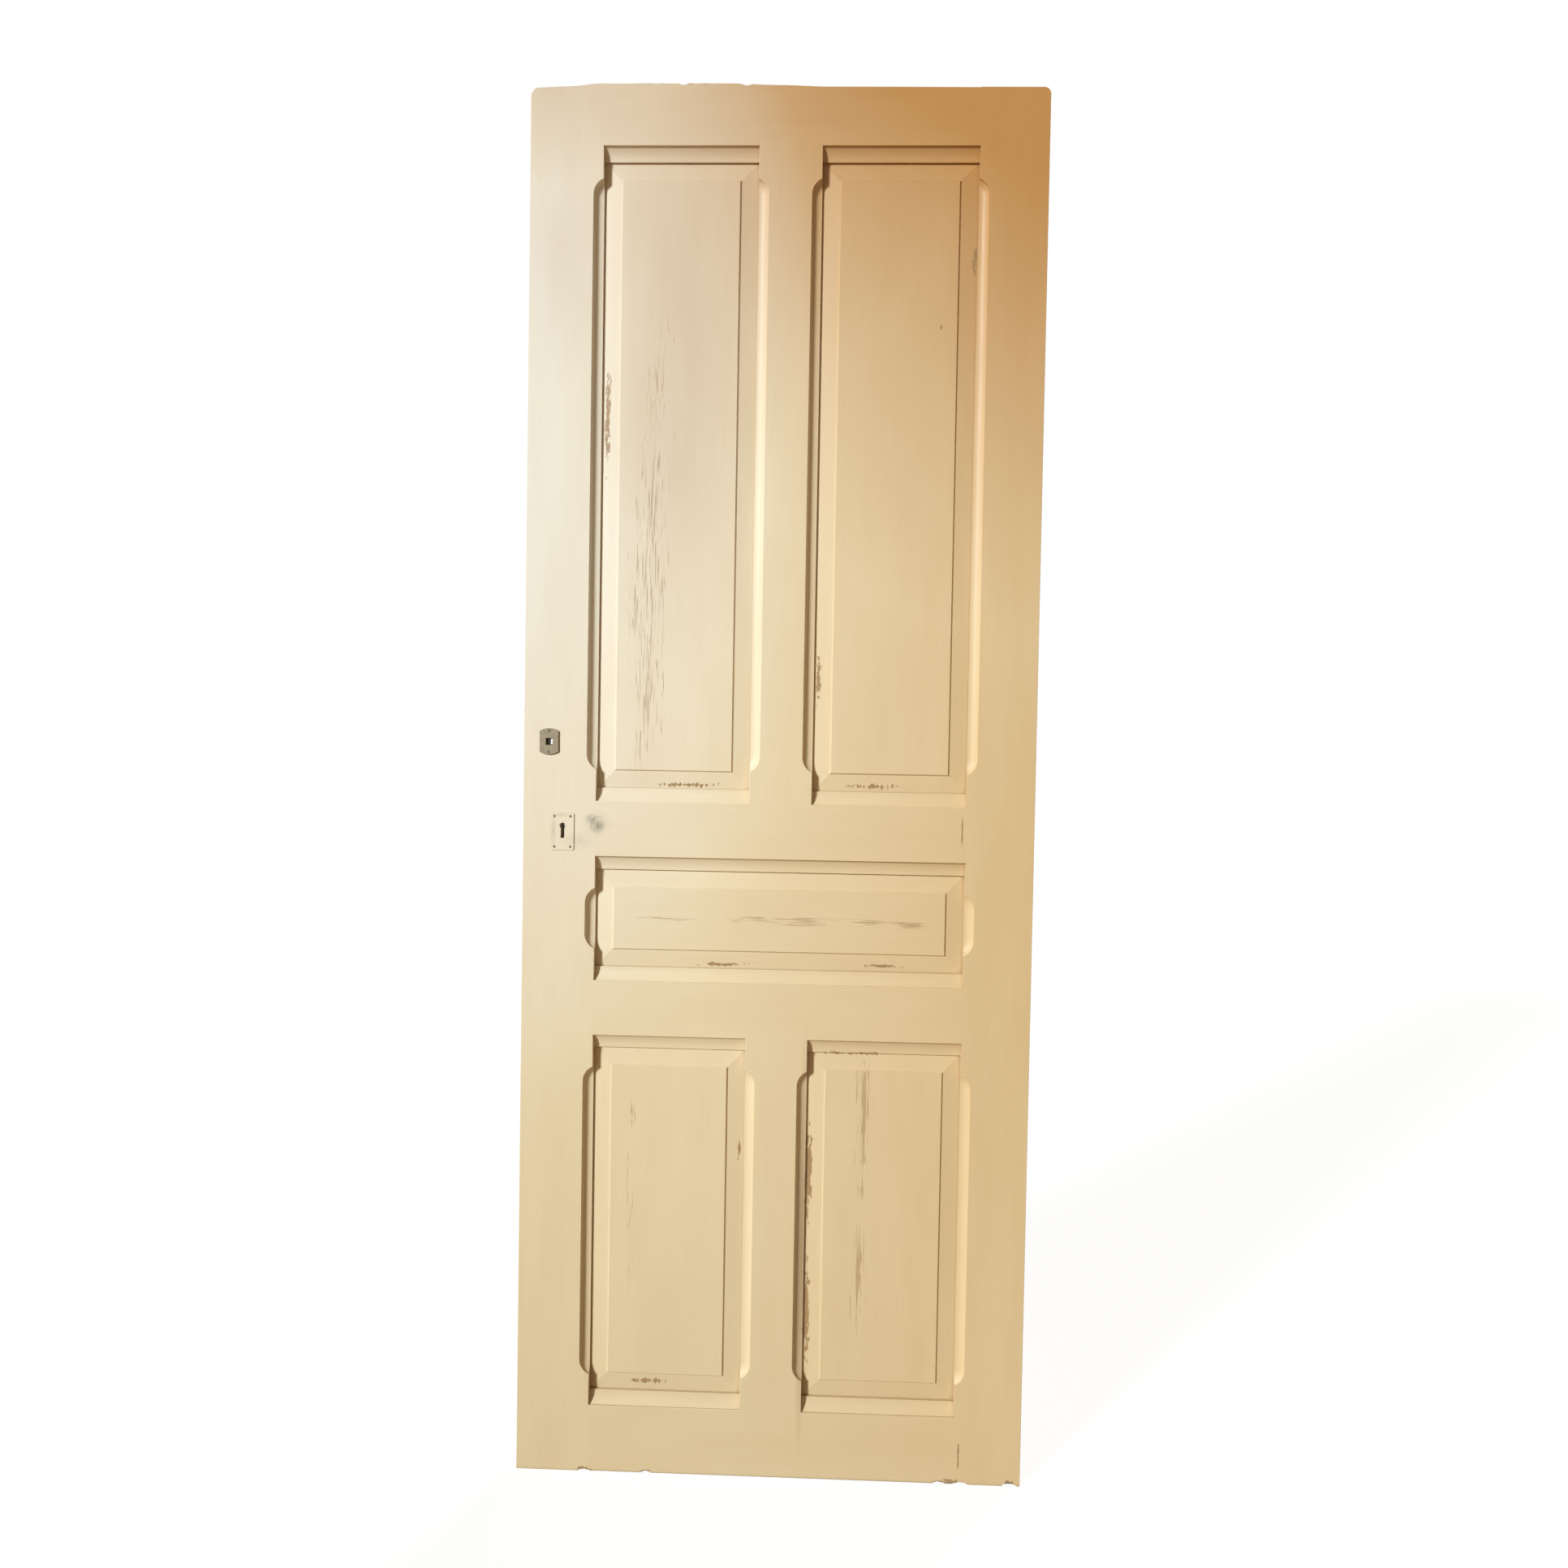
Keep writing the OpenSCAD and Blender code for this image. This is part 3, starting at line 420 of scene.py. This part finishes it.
def bare_wood(tree, place, level, ragged):
    """How bare the wood is: lens-shaped splits that run with the grain where the board below
    moved, and ragged chips."""
    streak = along_grain(tree, place, level, SPLIT_MM, detail=1.0, wander=1.5)
    faults = []
    for pattern, patches, opening in (
        (streak, BOARD_CRACKS if level else FLAME_CRACKS, SPLIT_OPENING),
        (ragged, CHIPS, CHIP_OPENING),
    ):
        weight, opens, full, bareness = opening
        zone = worn_patches(tree, place, patches)
        opened = put(
            tree, "ShaderNodeMath", {0: zone, 1: weight, 2: pattern}, operation="MULTIPLY_ADD"
        ).outputs[0]
        fault = put(
            tree,
            "ShaderNodeMapRange",
            {"Value": opened, "From Min": opens, "From Max": full, "To Max": bareness},
        ).outputs[0]
        inside = put(
            tree, "ShaderNodeMath", {0: zone, 1: PATCH_EDGE}, operation="GREATER_THAN"
        ).outputs[0]
        faults.append(
            put(tree, "ShaderNodeMath", {0: fault, 1: inside}, operation="MULTIPLY").outputs[0]
        )
    return put(
        tree, "ShaderNodeMath", {0: faults[0], 1: faults[1]}, operation="MAXIMUM"
    ).outputs[0]


def corner_dirt_and_shade(tree):
    """How much the paint darkens near inner corners, from ambient occlusion: partly dirt, partly
    painted shade.
    """
    openness = put(
        tree, "ShaderNodeAmbientOcclusion", {"Distance": CORNER_DARKENING_MM * MM}, samples=8
    ).outputs["AO"]
    return put(
        tree,
        "ShaderNodeMapRange",
        {"Value": openness, "From Min": 0.25, "From Max": 0.75, "To Min": 0.55, "To Max": 0.0},
    ).outputs[0]


def oil_enamel(name, level):
    """Oil enamel brushed along the grain of old pine: satin, yellowed by age, tinted and darkened
    by painted light and shade, split where the board below moved, and chipped to brown wood at the
    edges."""
    material, tree = blank_material(name)
    place = put(tree, "ShaderNodeTexCoord").outputs["Object"]
    depth = put(tree, "ShaderNodeSeparateXYZ", {0: place}).outputs["Y"]
    street_face = put(tree, "ShaderNodeMath", {0: depth, 1: 0.0}, operation="LESS_THAN").outputs[0]
    ragged = along_grain(tree, place, level, RAGGED_MM, detail=4.0, roughness=0.6)
    smudge = put(
        tree,
        "ShaderNodeMath",
        {0: worn_patches(tree, place, SMUDGED), 1: ragged},
        operation="MULTIPLY",
    ).outputs[0]
    wood = put(
        tree,
        "ShaderNodeMix",
        {MIX_FACTOR: ragged, MIX_A: linear("#86643f"), MIX_B: linear("#b08c60")},
        data_type="RGBA",
    ).outputs[MIX_RESULT]

    # These are on the street face only: smudges, bare wood, and dirt with painted shade along one
    # moulding.
    smudge, bare, shaded_moulding = [
        put(tree, "ShaderNodeMath", {0: wear, 1: street_face}, operation="MULTIPLY").outputs[0]
        for wear in (
            smudge,
            bare_wood(tree, place, level, ragged),
            worn_patches(tree, place, DIRT_AND_SHADE_MOULDING),
        )
    ]
    dirt_and_painted_shade = put(
        tree, "ShaderNodeMath", {0: corner_dirt_and_shade(tree), 1: shaded_moulding}, operation="MAXIMUM"
    ).outputs[0]
    colour = coat_colour(tree, place, level)
    # The brown darkening is partly dirt and partly painted shade, in inner corners and along one
    # moulding.
    for amount, wear_colour in (
        (smudge, linear("#8f8877")),
        (bare, wood),
        (dirt_and_painted_shade, linear("#7d5a36")),
    ):
        colour = put(
            tree,
            "ShaderNodeMix",
            {MIX_FACTOR: amount, MIX_A: colour, MIX_B: wear_colour},
            data_type="RGBA",
        ).outputs[MIX_RESULT]

    # Brush marks stand proud and bare places lie low, in millimetres.
    marks = along_grain(tree, place, level, BRUSH_MARK_MM, detail=3.0)
    ridges = put(
        tree, "ShaderNodeMath", {0: marks, 1: BRUSH_RIDGE_MM}, operation="MULTIPLY"
    ).outputs[0]
    relief = put(
        tree, "ShaderNodeMath", {0: bare, 1: -BARE_DEPTH_MM, 2: ridges}, operation="MULTIPLY_ADD"
    ).outputs[0]
    bumped = put(
        tree, "ShaderNodeBump", {"Height": relief, "Distance": MM, "Strength": 1.0}
    ).outputs[0]
    gloss = put(
        tree,
        "ShaderNodeMapRange",
        {"Value": marks, "From Min": 0.3, "From Max": 0.7, "To Min": 0.46, "To Max": 0.58},
    ).outputs[0]
    surface = put(
        tree,
        "ShaderNodeBsdfPrincipled",
        {"Base Color": colour, "Roughness": gloss, "Normal": bumped, "IOR": 1.48},
    )
    put(tree, "ShaderNodeOutputMaterial", {"Surface": surface.outputs[0]})
    return material


def aged_metal(name, dark, light, rust, roughness, metallic):
    """Metal handled and weathered for decades: a dull skin in dark and pale blotches, rough
    and spotted with rust."""
    material, tree = blank_material(name)
    place = put(tree, "ShaderNodeTexCoord").outputs["Object"]
    blotch, pits = [
        put(
            tree,
            "ShaderNodeTexNoise",
            {"Vector": place, "Scale": 1 / (size_mm * MM), "Detail": detail},
        ).outputs["Fac"]
        for size_mm, detail in ((BLOTCH_MM, 4.0), (PIT_MM, 2.0))
    ]
    skin = put(
        tree,
        "ShaderNodeMix",
        {MIX_FACTOR: blotch, MIX_A: linear(dark), MIX_B: linear(light)},
        data_type="RGBA",
    ).outputs[MIX_RESULT]
    spots = put(
        tree, "ShaderNodeMapRange", {"Value": pits, "From Min": 0.52, "From Max": 0.7}
    ).outputs[0]
    colour = put(
        tree,
        "ShaderNodeMix",
        {MIX_FACTOR: spots, MIX_A: skin, MIX_B: linear(rust)},
        data_type="RGBA",
    ).outputs[MIX_RESULT]
    rough = put(
        tree,
        "ShaderNodeMapRange",
        {
            "Value": pits,
            "To Min": roughness - ROUGHNESS_SPREAD,
            "To Max": roughness + ROUGHNESS_SPREAD,
        },
    ).outputs[0]
    bumped = put(
        tree, "ShaderNodeBump", {"Height": pits, "Distance": PIT_DEPTH_MM * MM, "Strength": 1.0}
    ).outputs[0]
    surface = put(
        tree,
        "ShaderNodeBsdfPrincipled",
        {"Base Color": colour, "Metallic": metallic, "Roughness": rough, "Normal": bumped},
    )
    put(tree, "ShaderNodeOutputMaterial", {"Surface": surface.outputs[0]})
    return material


def sawn_pine(name):
    """Sawn pine end grain, dusty and browned: matt, with growth rings."""
    material, tree = blank_material(name)
    place = put(tree, "ShaderNodeTexCoord").outputs["Object"]
    # What the wave turns by in a metre at a scale of 1.
    wave_radians = 20
    ring_scale = 2 * math.pi / (wave_radians * GROWTH_RING_MM * MM)
    rings = put(
        tree,
        "ShaderNodeTexWave",
        {"Vector": place, "Scale": ring_scale, "Distortion": 3.0, "Detail": 2.0},
        bands_direction="Z",
    ).outputs["Fac"]
    colour = put(
        tree,
        "ShaderNodeMix",
        {MIX_FACTOR: rings, MIX_A: linear("#a8835a"), MIX_B: linear("#c9a578")},
        data_type="RGBA",
    ).outputs[MIX_RESULT]
    surface = put(tree, "ShaderNodeBsdfPrincipled", {"Base Color": colour, "Roughness": 0.85})
    put(tree, "ShaderNodeOutputMaterial", {"Surface": surface.outputs[0]})
    return material


# Pieces


def add_painted(name, mesh, node):
    """Adds a painted piece of the leaf, which stands for its CAD node."""
    piece = add_object(name, mesh)
    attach(piece, "leaf")
    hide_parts(node)


def top_edge(x_mm):
    """How far the top edge lies from true at x, eased between its points."""
    for (x0, z0), (x1, z1) in zip(TOP_EDGE_MM, TOP_EDGE_MM[1:]):
        if x_mm <= x1:
            t = (x_mm - x0) / (x1 - x0)
            return z0 + (z1 - z0) * t * t * (3 - 2 * t)
    return TOP_EDGE_MM[-1][1]


def near(a, b):
    """True for two lengths in millimetres that are the same but for rounding."""
    return abs(a - b) < SAME_PLACE_MM


def arris_width(edge):
    """The rounding of an edge in millimetres: 0 for inner corners, joint lines and flats."""
    if len(edge.link_faces) != 2 or not edge.is_convex:
        return 0
    if edge.calc_face_angle() < ARRIS_FROM:
        return 0
    a, b = (v.co / MM for v in edge.verts)
    middle = (a + b) / 2
    on_edge = any(near(a.x, x) and near(b.x, x) for x in (LEAF_LEFT_MM, LEAF_RIGHT_MM))
    if on_edge and near(a.z, LEAF_TOP_MM) and near(b.z, LEAF_TOP_MM):
        return TOP_CORNER_MM
    if not (near(abs(a.y), FACE_HALF_MM) and near(abs(b.y), FACE_HALF_MM) and near(a.y, b.y)):
        return 0
    on_end = any(near(a.z, z) and near(b.z, z) for z in (LEAF_BOTTOM_MM, LEAF_TOP_MM))
    if on_edge or on_end:
        return OUTER_ARRIS_MM
    on_stile = any(
        near(a.x, x) and near(b.x, x) for x in (LOCK_STILE_INNER_MM, HINGE_STILE_INNER_MM)
    )
    if on_stile and any(low <= middle.z <= high for low, high in RAIL_FLATS_MM):
        return 0
    under_muntin = MUNTIN_MM[0] <= middle.x <= MUNTIN_MM[1] and near(a.z, b.z)
    if under_muntin and not any(near(a.z, z) for z in MIDDLE_OPENING_MM):
        return 0
    return MOULDING_ARRIS_MM


def cut_across(shape, normal, at_mm, faces=None):
    """Adds a line of edges where a plane crosses the mesh, or only some of its faces."""
    faces = shape.faces[:] if faces is None else faces
    edges = {edge for face in faces for edge in face.edges}
    verts = {vert for face in faces for vert in face.verts}
    bmesh.ops.bisect_plane(
        shape,
        geom=[*verts, *edges, *faces],
        dist=MERGED_MM * MM,
        plane_co=Vector(normal) * at_mm * MM,
        plane_no=normal,
    )


def strip_faces(shape, border, inwards):
    """The faces between a level and the end of the leaf that inwards points away from."""
    return [
        face
        for face in shape.faces
        if all((vert.co.z / MM - border) * inwards < TOUCHING_MM for vert in face.verts)
    ]


def knock_bites(shape):
    """Drives the street face's top and bottom arrises in where they were knocked."""
    left = min(vert.co.x for vert in shape.verts) / MM
    right = max(vert.co.x for vert in shape.verts) / MM
    for end, inwards in ((LEAF_BOTTOM_MM, 1), (LEAF_TOP_MM, -1)):
        border = end + inwards * BITE_STRIP_MM
        bites = [
            (x, along, up)
            for x, bitten_end, along, up in BITES_MM
            if bitten_end == end and left - along < x < right + along
        ]
        if not bites or all((vert.co.z / MM - border) * inwards > 0 for vert in shape.verts):
            continue
        cut_across(shape, UP, border)
        cut_across(shape, THROUGH, BITE_BACK_MM, strip_faces(shape, border, inwards))
        for x, along, _ in bites:
            for step in BITE_STEPS:
                cut_across(shape, ACROSS, x + step * along, strip_faces(shape, border, inwards))
        for vert in shape.verts:
            at = vert.co / MM
            in_front = BITE_BACK_MM - at.y
            if in_front <= TOUCHING_MM or (at.z - border) * inwards > -TOUCHING_MM:
                continue
            forward = in_front / BITE_DEPTH_MM
            for x, along, up in bites:
                off = (at.x - x) / along
                if abs(off) < 1:
                    grain = noise.noise((at.x / BITE_GRAIN_MM, at.y / BITE_GRAIN_MM, x))
                    share = BITE_MEAN + BITE_SPREAD * grain
                    vert.co.z += inwards * up * (1 - off * off) * forward * share * MM


def bend_top(shape, node):
    """Gives a piece that reaches the leaf's top its part of the uneven top edge."""
    left, right = extent(node, "x")
    if not near(extent(node, "z")[1], LEAF_TOP_MM):
        return
    for step in range(1, math.ceil((right - left) / TOP_SLICE_MM)):
        cut_across(shape, ACROSS, left + step * TOP_SLICE_MM)
    for vert in shape.verts:
        if vert.co.z > (LEAF_TOP_MM - TOP_BAND_MM) * MM:
            vert.co.z += top_edge(vert.co.x / MM) * MM


def eased_member(node, finish):
    """A stile, rail or muntin as it has worn: the CAD solid's shape with rounded arrises,
    an uneven top edge and the bites knocked out of its edges."""
    shape = bmesh.new()
    shape.from_mesh(frame["nodes"][node].data)
    bmesh.ops.remove_doubles(shape, verts=shape.verts[:], dist=MERGED_MM * MM)
    bmesh.ops.dissolve_limit(
        shape, angle_limit=FLAT_WITHIN, verts=shape.verts[:], edges=shape.edges[:]
    )
    for levels in RAIL_FLATS_MM:
        for z in levels:
            cut_across(shape, UP, z)
    for x in MUNTIN_MM:
        cut_across(shape, ACROSS, x)
    for width, facets in ARRIS_FACETS.items():
        edges = [edge for edge in shape.edges if arris_width(edge) == width]
        if edges:
            bmesh.ops.bevel(
                shape,
                geom=edges,
                offset=width * MM,
                offset_type="OFFSET",
                segments=facets,
                profile=ROUND_PROFILE,
                affect="EDGES",
                clamp_overlap=True,
            )
    bend_top(shape, node)
    knock_bites(shape)
    mesh = bpy.data.meshes.new(f"{node}_worn")
    shape.to_mesh(mesh)
    shape.free()
    # The solid's own normals no longer fit the rounded shape.
    mesh.attributes.remove(mesh.attributes["custom_normal"])
    mesh.materials.clear()
    mesh.materials.append(finish)
    mesh.set_sharp_from_angle(angle=SHARP_FROM)
    for face in mesh.polygons:
        # Flats stay flat, so that the rounded arrises don't shade across them.
        face.use_smooth = max(abs(part) for part in face.normal) < FLAT_NORMAL
    add_painted(f"{node}_worn", mesh, node)


def panel_rings(tree, given):
    """A panel's half section, from the middle of the field out to the tongue's edge: how far
    in from that edge each ring lies, and half the thickness there."""
    smaller = put(
        tree, "ShaderNodeMath", {0: given["Width"], 1: given["Height"]}, operation="MINIMUM"
    ).outputs[0]
    middle = put(tree, "ShaderNodeMath", {0: smaller, 1: 0.5}, operation="MULTIPLY").outputs[0]
    margin_end = put(
        tree, "ShaderNodeMath", {0: given["Tongue Length"], 1: given["Margin Width"]}
    ).outputs[0]
    margin_half = put(
        tree, "ShaderNodeMath", {0: given["Tongue Half"], 1: given["Margin Rise"]}
    ).outputs[0]
    field_edge = put(tree, "ShaderNodeMath", {0: margin_end, 1: given["Step Run"]}).outputs[0]
    field_half = put(tree, "ShaderNodeMath", {0: margin_half, 1: given["Step Height"]}).outputs[0]
    arris_top = put(tree, "ShaderNodeMath", {0: field_edge, 1: given["Arris"]}).outputs[0]
    arris_foot = put(
        tree, "ShaderNodeMath", {0: field_half, 1: given["Arris"]}, operation="SUBTRACT"
    ).outputs[0]
    return [
        (middle, field_half),
        (arris_top, field_half),
        (field_edge, arris_foot),
        (margin_end, margin_half),
        (given["Tongue Length"], given["Tongue Half"]),
        (0.0, given["Tongue Half"]),
    ]


def raised_panel_tree():
    """Geometry Nodes: a raised and fielded panel, as mitred rings from one field round the
    tongue to the other. A row of the grid is a ring, a column one of its four corners, and
    the fifth column closes the ring."""
    tree = bpy.data.node_groups.new("raised and fielded panel", "GeometryNodeTree")
    for label in ("Width", "Height", *PANEL_SECTION_MM):
        tree.interface.new_socket(label, in_out="INPUT", socket_type="NodeSocketFloat")
    tree.interface.new_socket("Centre", in_out="INPUT", socket_type="NodeSocketVector")
    tree.interface.new_socket("Material", in_out="INPUT", socket_type="NodeSocketMaterial")
    tree.interface.new_socket("Panel", in_out="OUTPUT", socket_type="NodeSocketGeometry")
    given = put(tree, "NodeGroupInput").outputs
    rings = panel_rings(tree, given)

    # The grid's vertices lie 1 m apart, with its middle at the origin.
    rows = 2 * len(rings)
    grid = put(
        tree,
        "GeometryNodeMeshGrid",
        {"Size X": 4.0, "Size Y": rows - 1.0, "Vertices X": 5, "Vertices Y": rows},
    ).outputs["Mesh"]
    position = put(tree, "GeometryNodeInputPosition").outputs[0]
    at = put(tree, "ShaderNodeSeparateXYZ", {0: position}).outputs
    row = put(tree, "ShaderNodeMath", {0: at["Y"], 1: (rows - 1) / 2}).outputs[0]
    from_back = put(
        tree, "ShaderNodeMath", {0: rows - 1.0, 1: row}, operation="SUBTRACT"
    ).outputs[0]
    nearer = put(tree, "ShaderNodeMath", {0: row, 1: from_back}, operation="MINIMUM").outputs[0]
    ring = put(tree, "FunctionNodeFloatToInt", {0: nearer}, rounding_mode="ROUND").outputs[0]
    inset, half = [
        put(
            tree,
            "GeometryNodeIndexSwitch",
            {0: ring, **dict(enumerate(values, start=1))},
            choices=len(rings),
            data_type="FLOAT",
        ).outputs[0]
        for values in zip(*rings)
    ]

    # Each corner of a ring lies to one side of the middle in width and in height.
    sides = []
    for middle_column, size in ((-0.5, given["Width"]), (0.5, given["Height"])):
        off = put(
            tree, "ShaderNodeMath", {0: at["X"], 1: middle_column}, operation="SUBTRACT"
        ).outputs[0]
        away = put(tree, "ShaderNodeMath", {0: off}, operation="ABSOLUTE").outputs[0]
        slope = put(
            tree, "ShaderNodeMath", {0: away, 1: -2.0, 2: 2.0}, operation="MULTIPLY_ADD"
        ).outputs[0]
        side = put(
            tree, "ShaderNodeClamp", {"Value": slope, "Min": -1.0, "Max": 1.0}
        ).outputs[0]
        half_size = put(tree, "ShaderNodeMath", {0: size, 1: 0.5}, operation="MULTIPLY").outputs[0]
        reach = put(
            tree, "ShaderNodeMath", {0: half_size, 1: inset}, operation="SUBTRACT"
        ).outputs[0]
        sides.append(
            put(tree, "ShaderNodeMath", {0: side, 1: reach}, operation="MULTIPLY").outputs[0]
        )
    face = put(tree, "ShaderNodeMath", {0: at["Y"]}, operation="SIGN").outputs[0]
    depth = put(tree, "ShaderNodeMath", {0: face, 1: half}, operation="MULTIPLY").outputs[0]
    spot = put(
        tree, "ShaderNodeCombineXYZ", {"X": sides[0], "Y": depth, "Z": sides[1]}
    ).outputs[0]
    spot = put(
        tree, "ShaderNodeVectorMath", {0: spot, 1: given["Centre"]}, operation="ADD"
    ).outputs[0]

    board = put(tree, "GeometryNodeSetPosition", {"Geometry": grid, "Position": spot}).outputs[0]
    board = put(
        tree, "GeometryNodeMergeByDistance", {"Geometry": board, "Distance": TOUCHING_MM * MM}
    ).outputs[0]
    board = put(tree, "GeometryNodeRealizeInstances", {"Geometry": board}).outputs[0]
    board = put(
        tree, "GeometryNodeSetMaterial", {"Geometry": board, "Material": given["Material"]}
    ).outputs[0]
    put(tree, "NodeGroupOutput", {"Panel": board})
    return tree


def raised_panel(node, tree, finish):
    """One panel in its CAD node's place, as a plain closed mesh."""
    low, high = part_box(node)
    size = high - low
    sizes = {
        "Width": size.x,
        "Height": size.z,
        **{label: length * MM for label, length in PANEL_SECTION_MM.items()},
        "Centre": (low + high) / 2,
        "Material": finish,
    }
    maker = add_object("maker", bpy.data.meshes.new("maker"))
    nodes = maker.modifiers.new("raised panel", "NODES")
    nodes.node_group = tree
    for socket in tree.interface.items_tree:
        if socket.in_out == "INPUT":
            nodes[socket.identifier] = sizes[socket.name]
    graph = bpy.context.evaluated_depsgraph_get()
    mesh = bpy.data.meshes.new_from_object(maker.evaluated_get(graph), depsgraph=graph)
    bpy.data.objects.remove(maker)
    shape = bmesh.new()
    shape.from_mesh(mesh)
    bmesh.ops.recalc_face_normals(shape, faces=shape.faces[:])
    shape.to_mesh(mesh)
    shape.free()
    add_painted(f"{node}_board", mesh, node)


# The leaf

upright_enamel = oil_enamel("oil enamel brushed upright", level=False)
level_enamel = oil_enamel("oil enamel brushed level", level=True)
browned_iron = aged_metal("wrought iron browned", "#5a4e42", "#8d806d", "#5d4632", 0.6, 0.6)
rubbed_iron = aged_metal("wrought iron rubbed pale", "#7c6e5a", "#a39479", "#5f4f3b", 0.55, 0.3)
worn_steel = aged_metal("rolled steel worn dull", "#6d675e", "#958e83", "#6b5542", 0.5, 0.85)
end_grain = sawn_pine("pine sawn across the grain")

finishes = {
    **dict.fromkeys(UPRIGHT_MEMBERS + UPRIGHT_PANELS, upright_enamel),
    **dict.fromkeys(("keyhole_plate", "old_hole_plug"), upright_enamel),
    **dict.fromkeys(LEVEL_MEMBERS + LEVEL_PANELS, level_enamel),
    **dict.fromkeys(IRON_NODES, browned_iron),
    **dict.fromkeys(STEEL_NODES, worn_steel),
    "spindle_rose": rubbed_iron,
    "tenon_wedges": end_grain,
}
for node, finish in finishes.items():
    for material_slot in frame["nodes"][node].material_slots:
        material_slot.material = finish

for node in UPRIGHT_MEMBERS + LEVEL_MEMBERS:
    eased_member(node, finishes[node])
panel_tree = raised_panel_tree()
for node in UPRIGHT_PANELS + LEVEL_PANELS:
    raised_panel(node, panel_tree, finishes[node])

# Floor, light and camera


def white_to_the_eye(tree):
    """1 for rays from the camera and those it sees by reflection or through glass."""
    path = put(tree, "ShaderNodeLightPath").outputs
    seen = put(
        tree,
        "ShaderNodeMath",
        {0: path["Is Camera Ray"], 1: path["Is Glossy Ray"]},
        operation="MAXIMUM",
    ).outputs[0]
    return put(
        tree, "ShaderNodeMath", {0: seen, 1: path["Is Transmission Ray"]}, operation="MAXIMUM"
    ).outputs[0]


def pale_floor():
    """A white sweep: it lights the leaf as warm paper does, and looks white but for the shadow."""
    material, tree = blank_material("paper sweep")
    paper = put(tree, "ShaderNodeBsdfDiffuse", {"Color": linear("#af9773")}).outputs[0]
    shadow = put(tree, "ShaderNodeBsdfDiffuse", {"Color": linear("#707070")}).outputs[0]
    glow = put(
        tree, "ShaderNodeEmission", {"Color": linear("#ffffff"), "Strength": FLOOR_GLOW}
    ).outputs[0]
    white = put(tree, "ShaderNodeAddShader", {0: shadow, 1: glow}).outputs[0]
    mixed = put(
        tree, "ShaderNodeMixShader", {0: white_to_the_eye(tree), 1: paper, 2: white}
    ).outputs[0]
    put(tree, "ShaderNodeOutputMaterial", {"Surface": mixed})
    mesh = bpy.data.meshes.new("paper sweep")
    reach = FLOOR_REACH_M
    mesh.from_pydata(
        [(-reach, -reach, 0), (reach, -reach, 0), (reach, reach, 0), (-reach, reach, 0)],
        [],
        [(0, 1, 2, 3)],
    )
    mesh.materials.append(material)
    floor = add_object("paper_sweep", mesh)


def soft_room():
    """A world that fills the shadows with warm light and looks white."""
    room = bpy.data.worlds.new("soft room")
    room.use_nodes = True
    tree = room.node_tree
    tree.nodes.clear()
    fill, white = [
        put(
            tree, "ShaderNodeBackground", {"Color": linear(colour), "Strength": strength}
        ).outputs[0]
        for colour, strength in (("#ffddaa", FILL_STRENGTH), ("#ffffff", 1.0))
    ]
    mixed = put(
        tree, "ShaderNodeMixShader", {0: white_to_the_eye(tree), 1: fill, 2: white}
    ).outputs[0]
    put(tree, "ShaderNodeOutputWorld", {"Surface": mixed})
    return room


pale_floor()

scene = bpy.context.scene
scene.view_settings.view_transform = "Standard"
scene.world = soft_room()

# The key light comes from the front, the lock side and a little above, and a weaker one
# lights the far face.
for name, (towards, strength, colour, width_deg) in LAMPS.items():
    lamp = bpy.data.lights.new(name, "SUN")
    lamp.energy = strength
    lamp.color = linear(colour)[:3]
    lamp.angle = math.radians(width_deg)
    add_object(name, lamp).rotation_euler = Vector(towards).to_track_quat("Z", "Y").to_euler()

lens = bpy.data.cameras.new("photograph")
lens.sensor_width = SENSOR_WIDTH_MM
lens.lens = FOCAL_LENGTH_MM
camera = add_object("photograph", lens)
camera.location = CAMERA_PLACE_M
camera.rotation_euler = [math.radians(turn) for turn in CAMERA_TURN_DEG]
scene.camera = camera
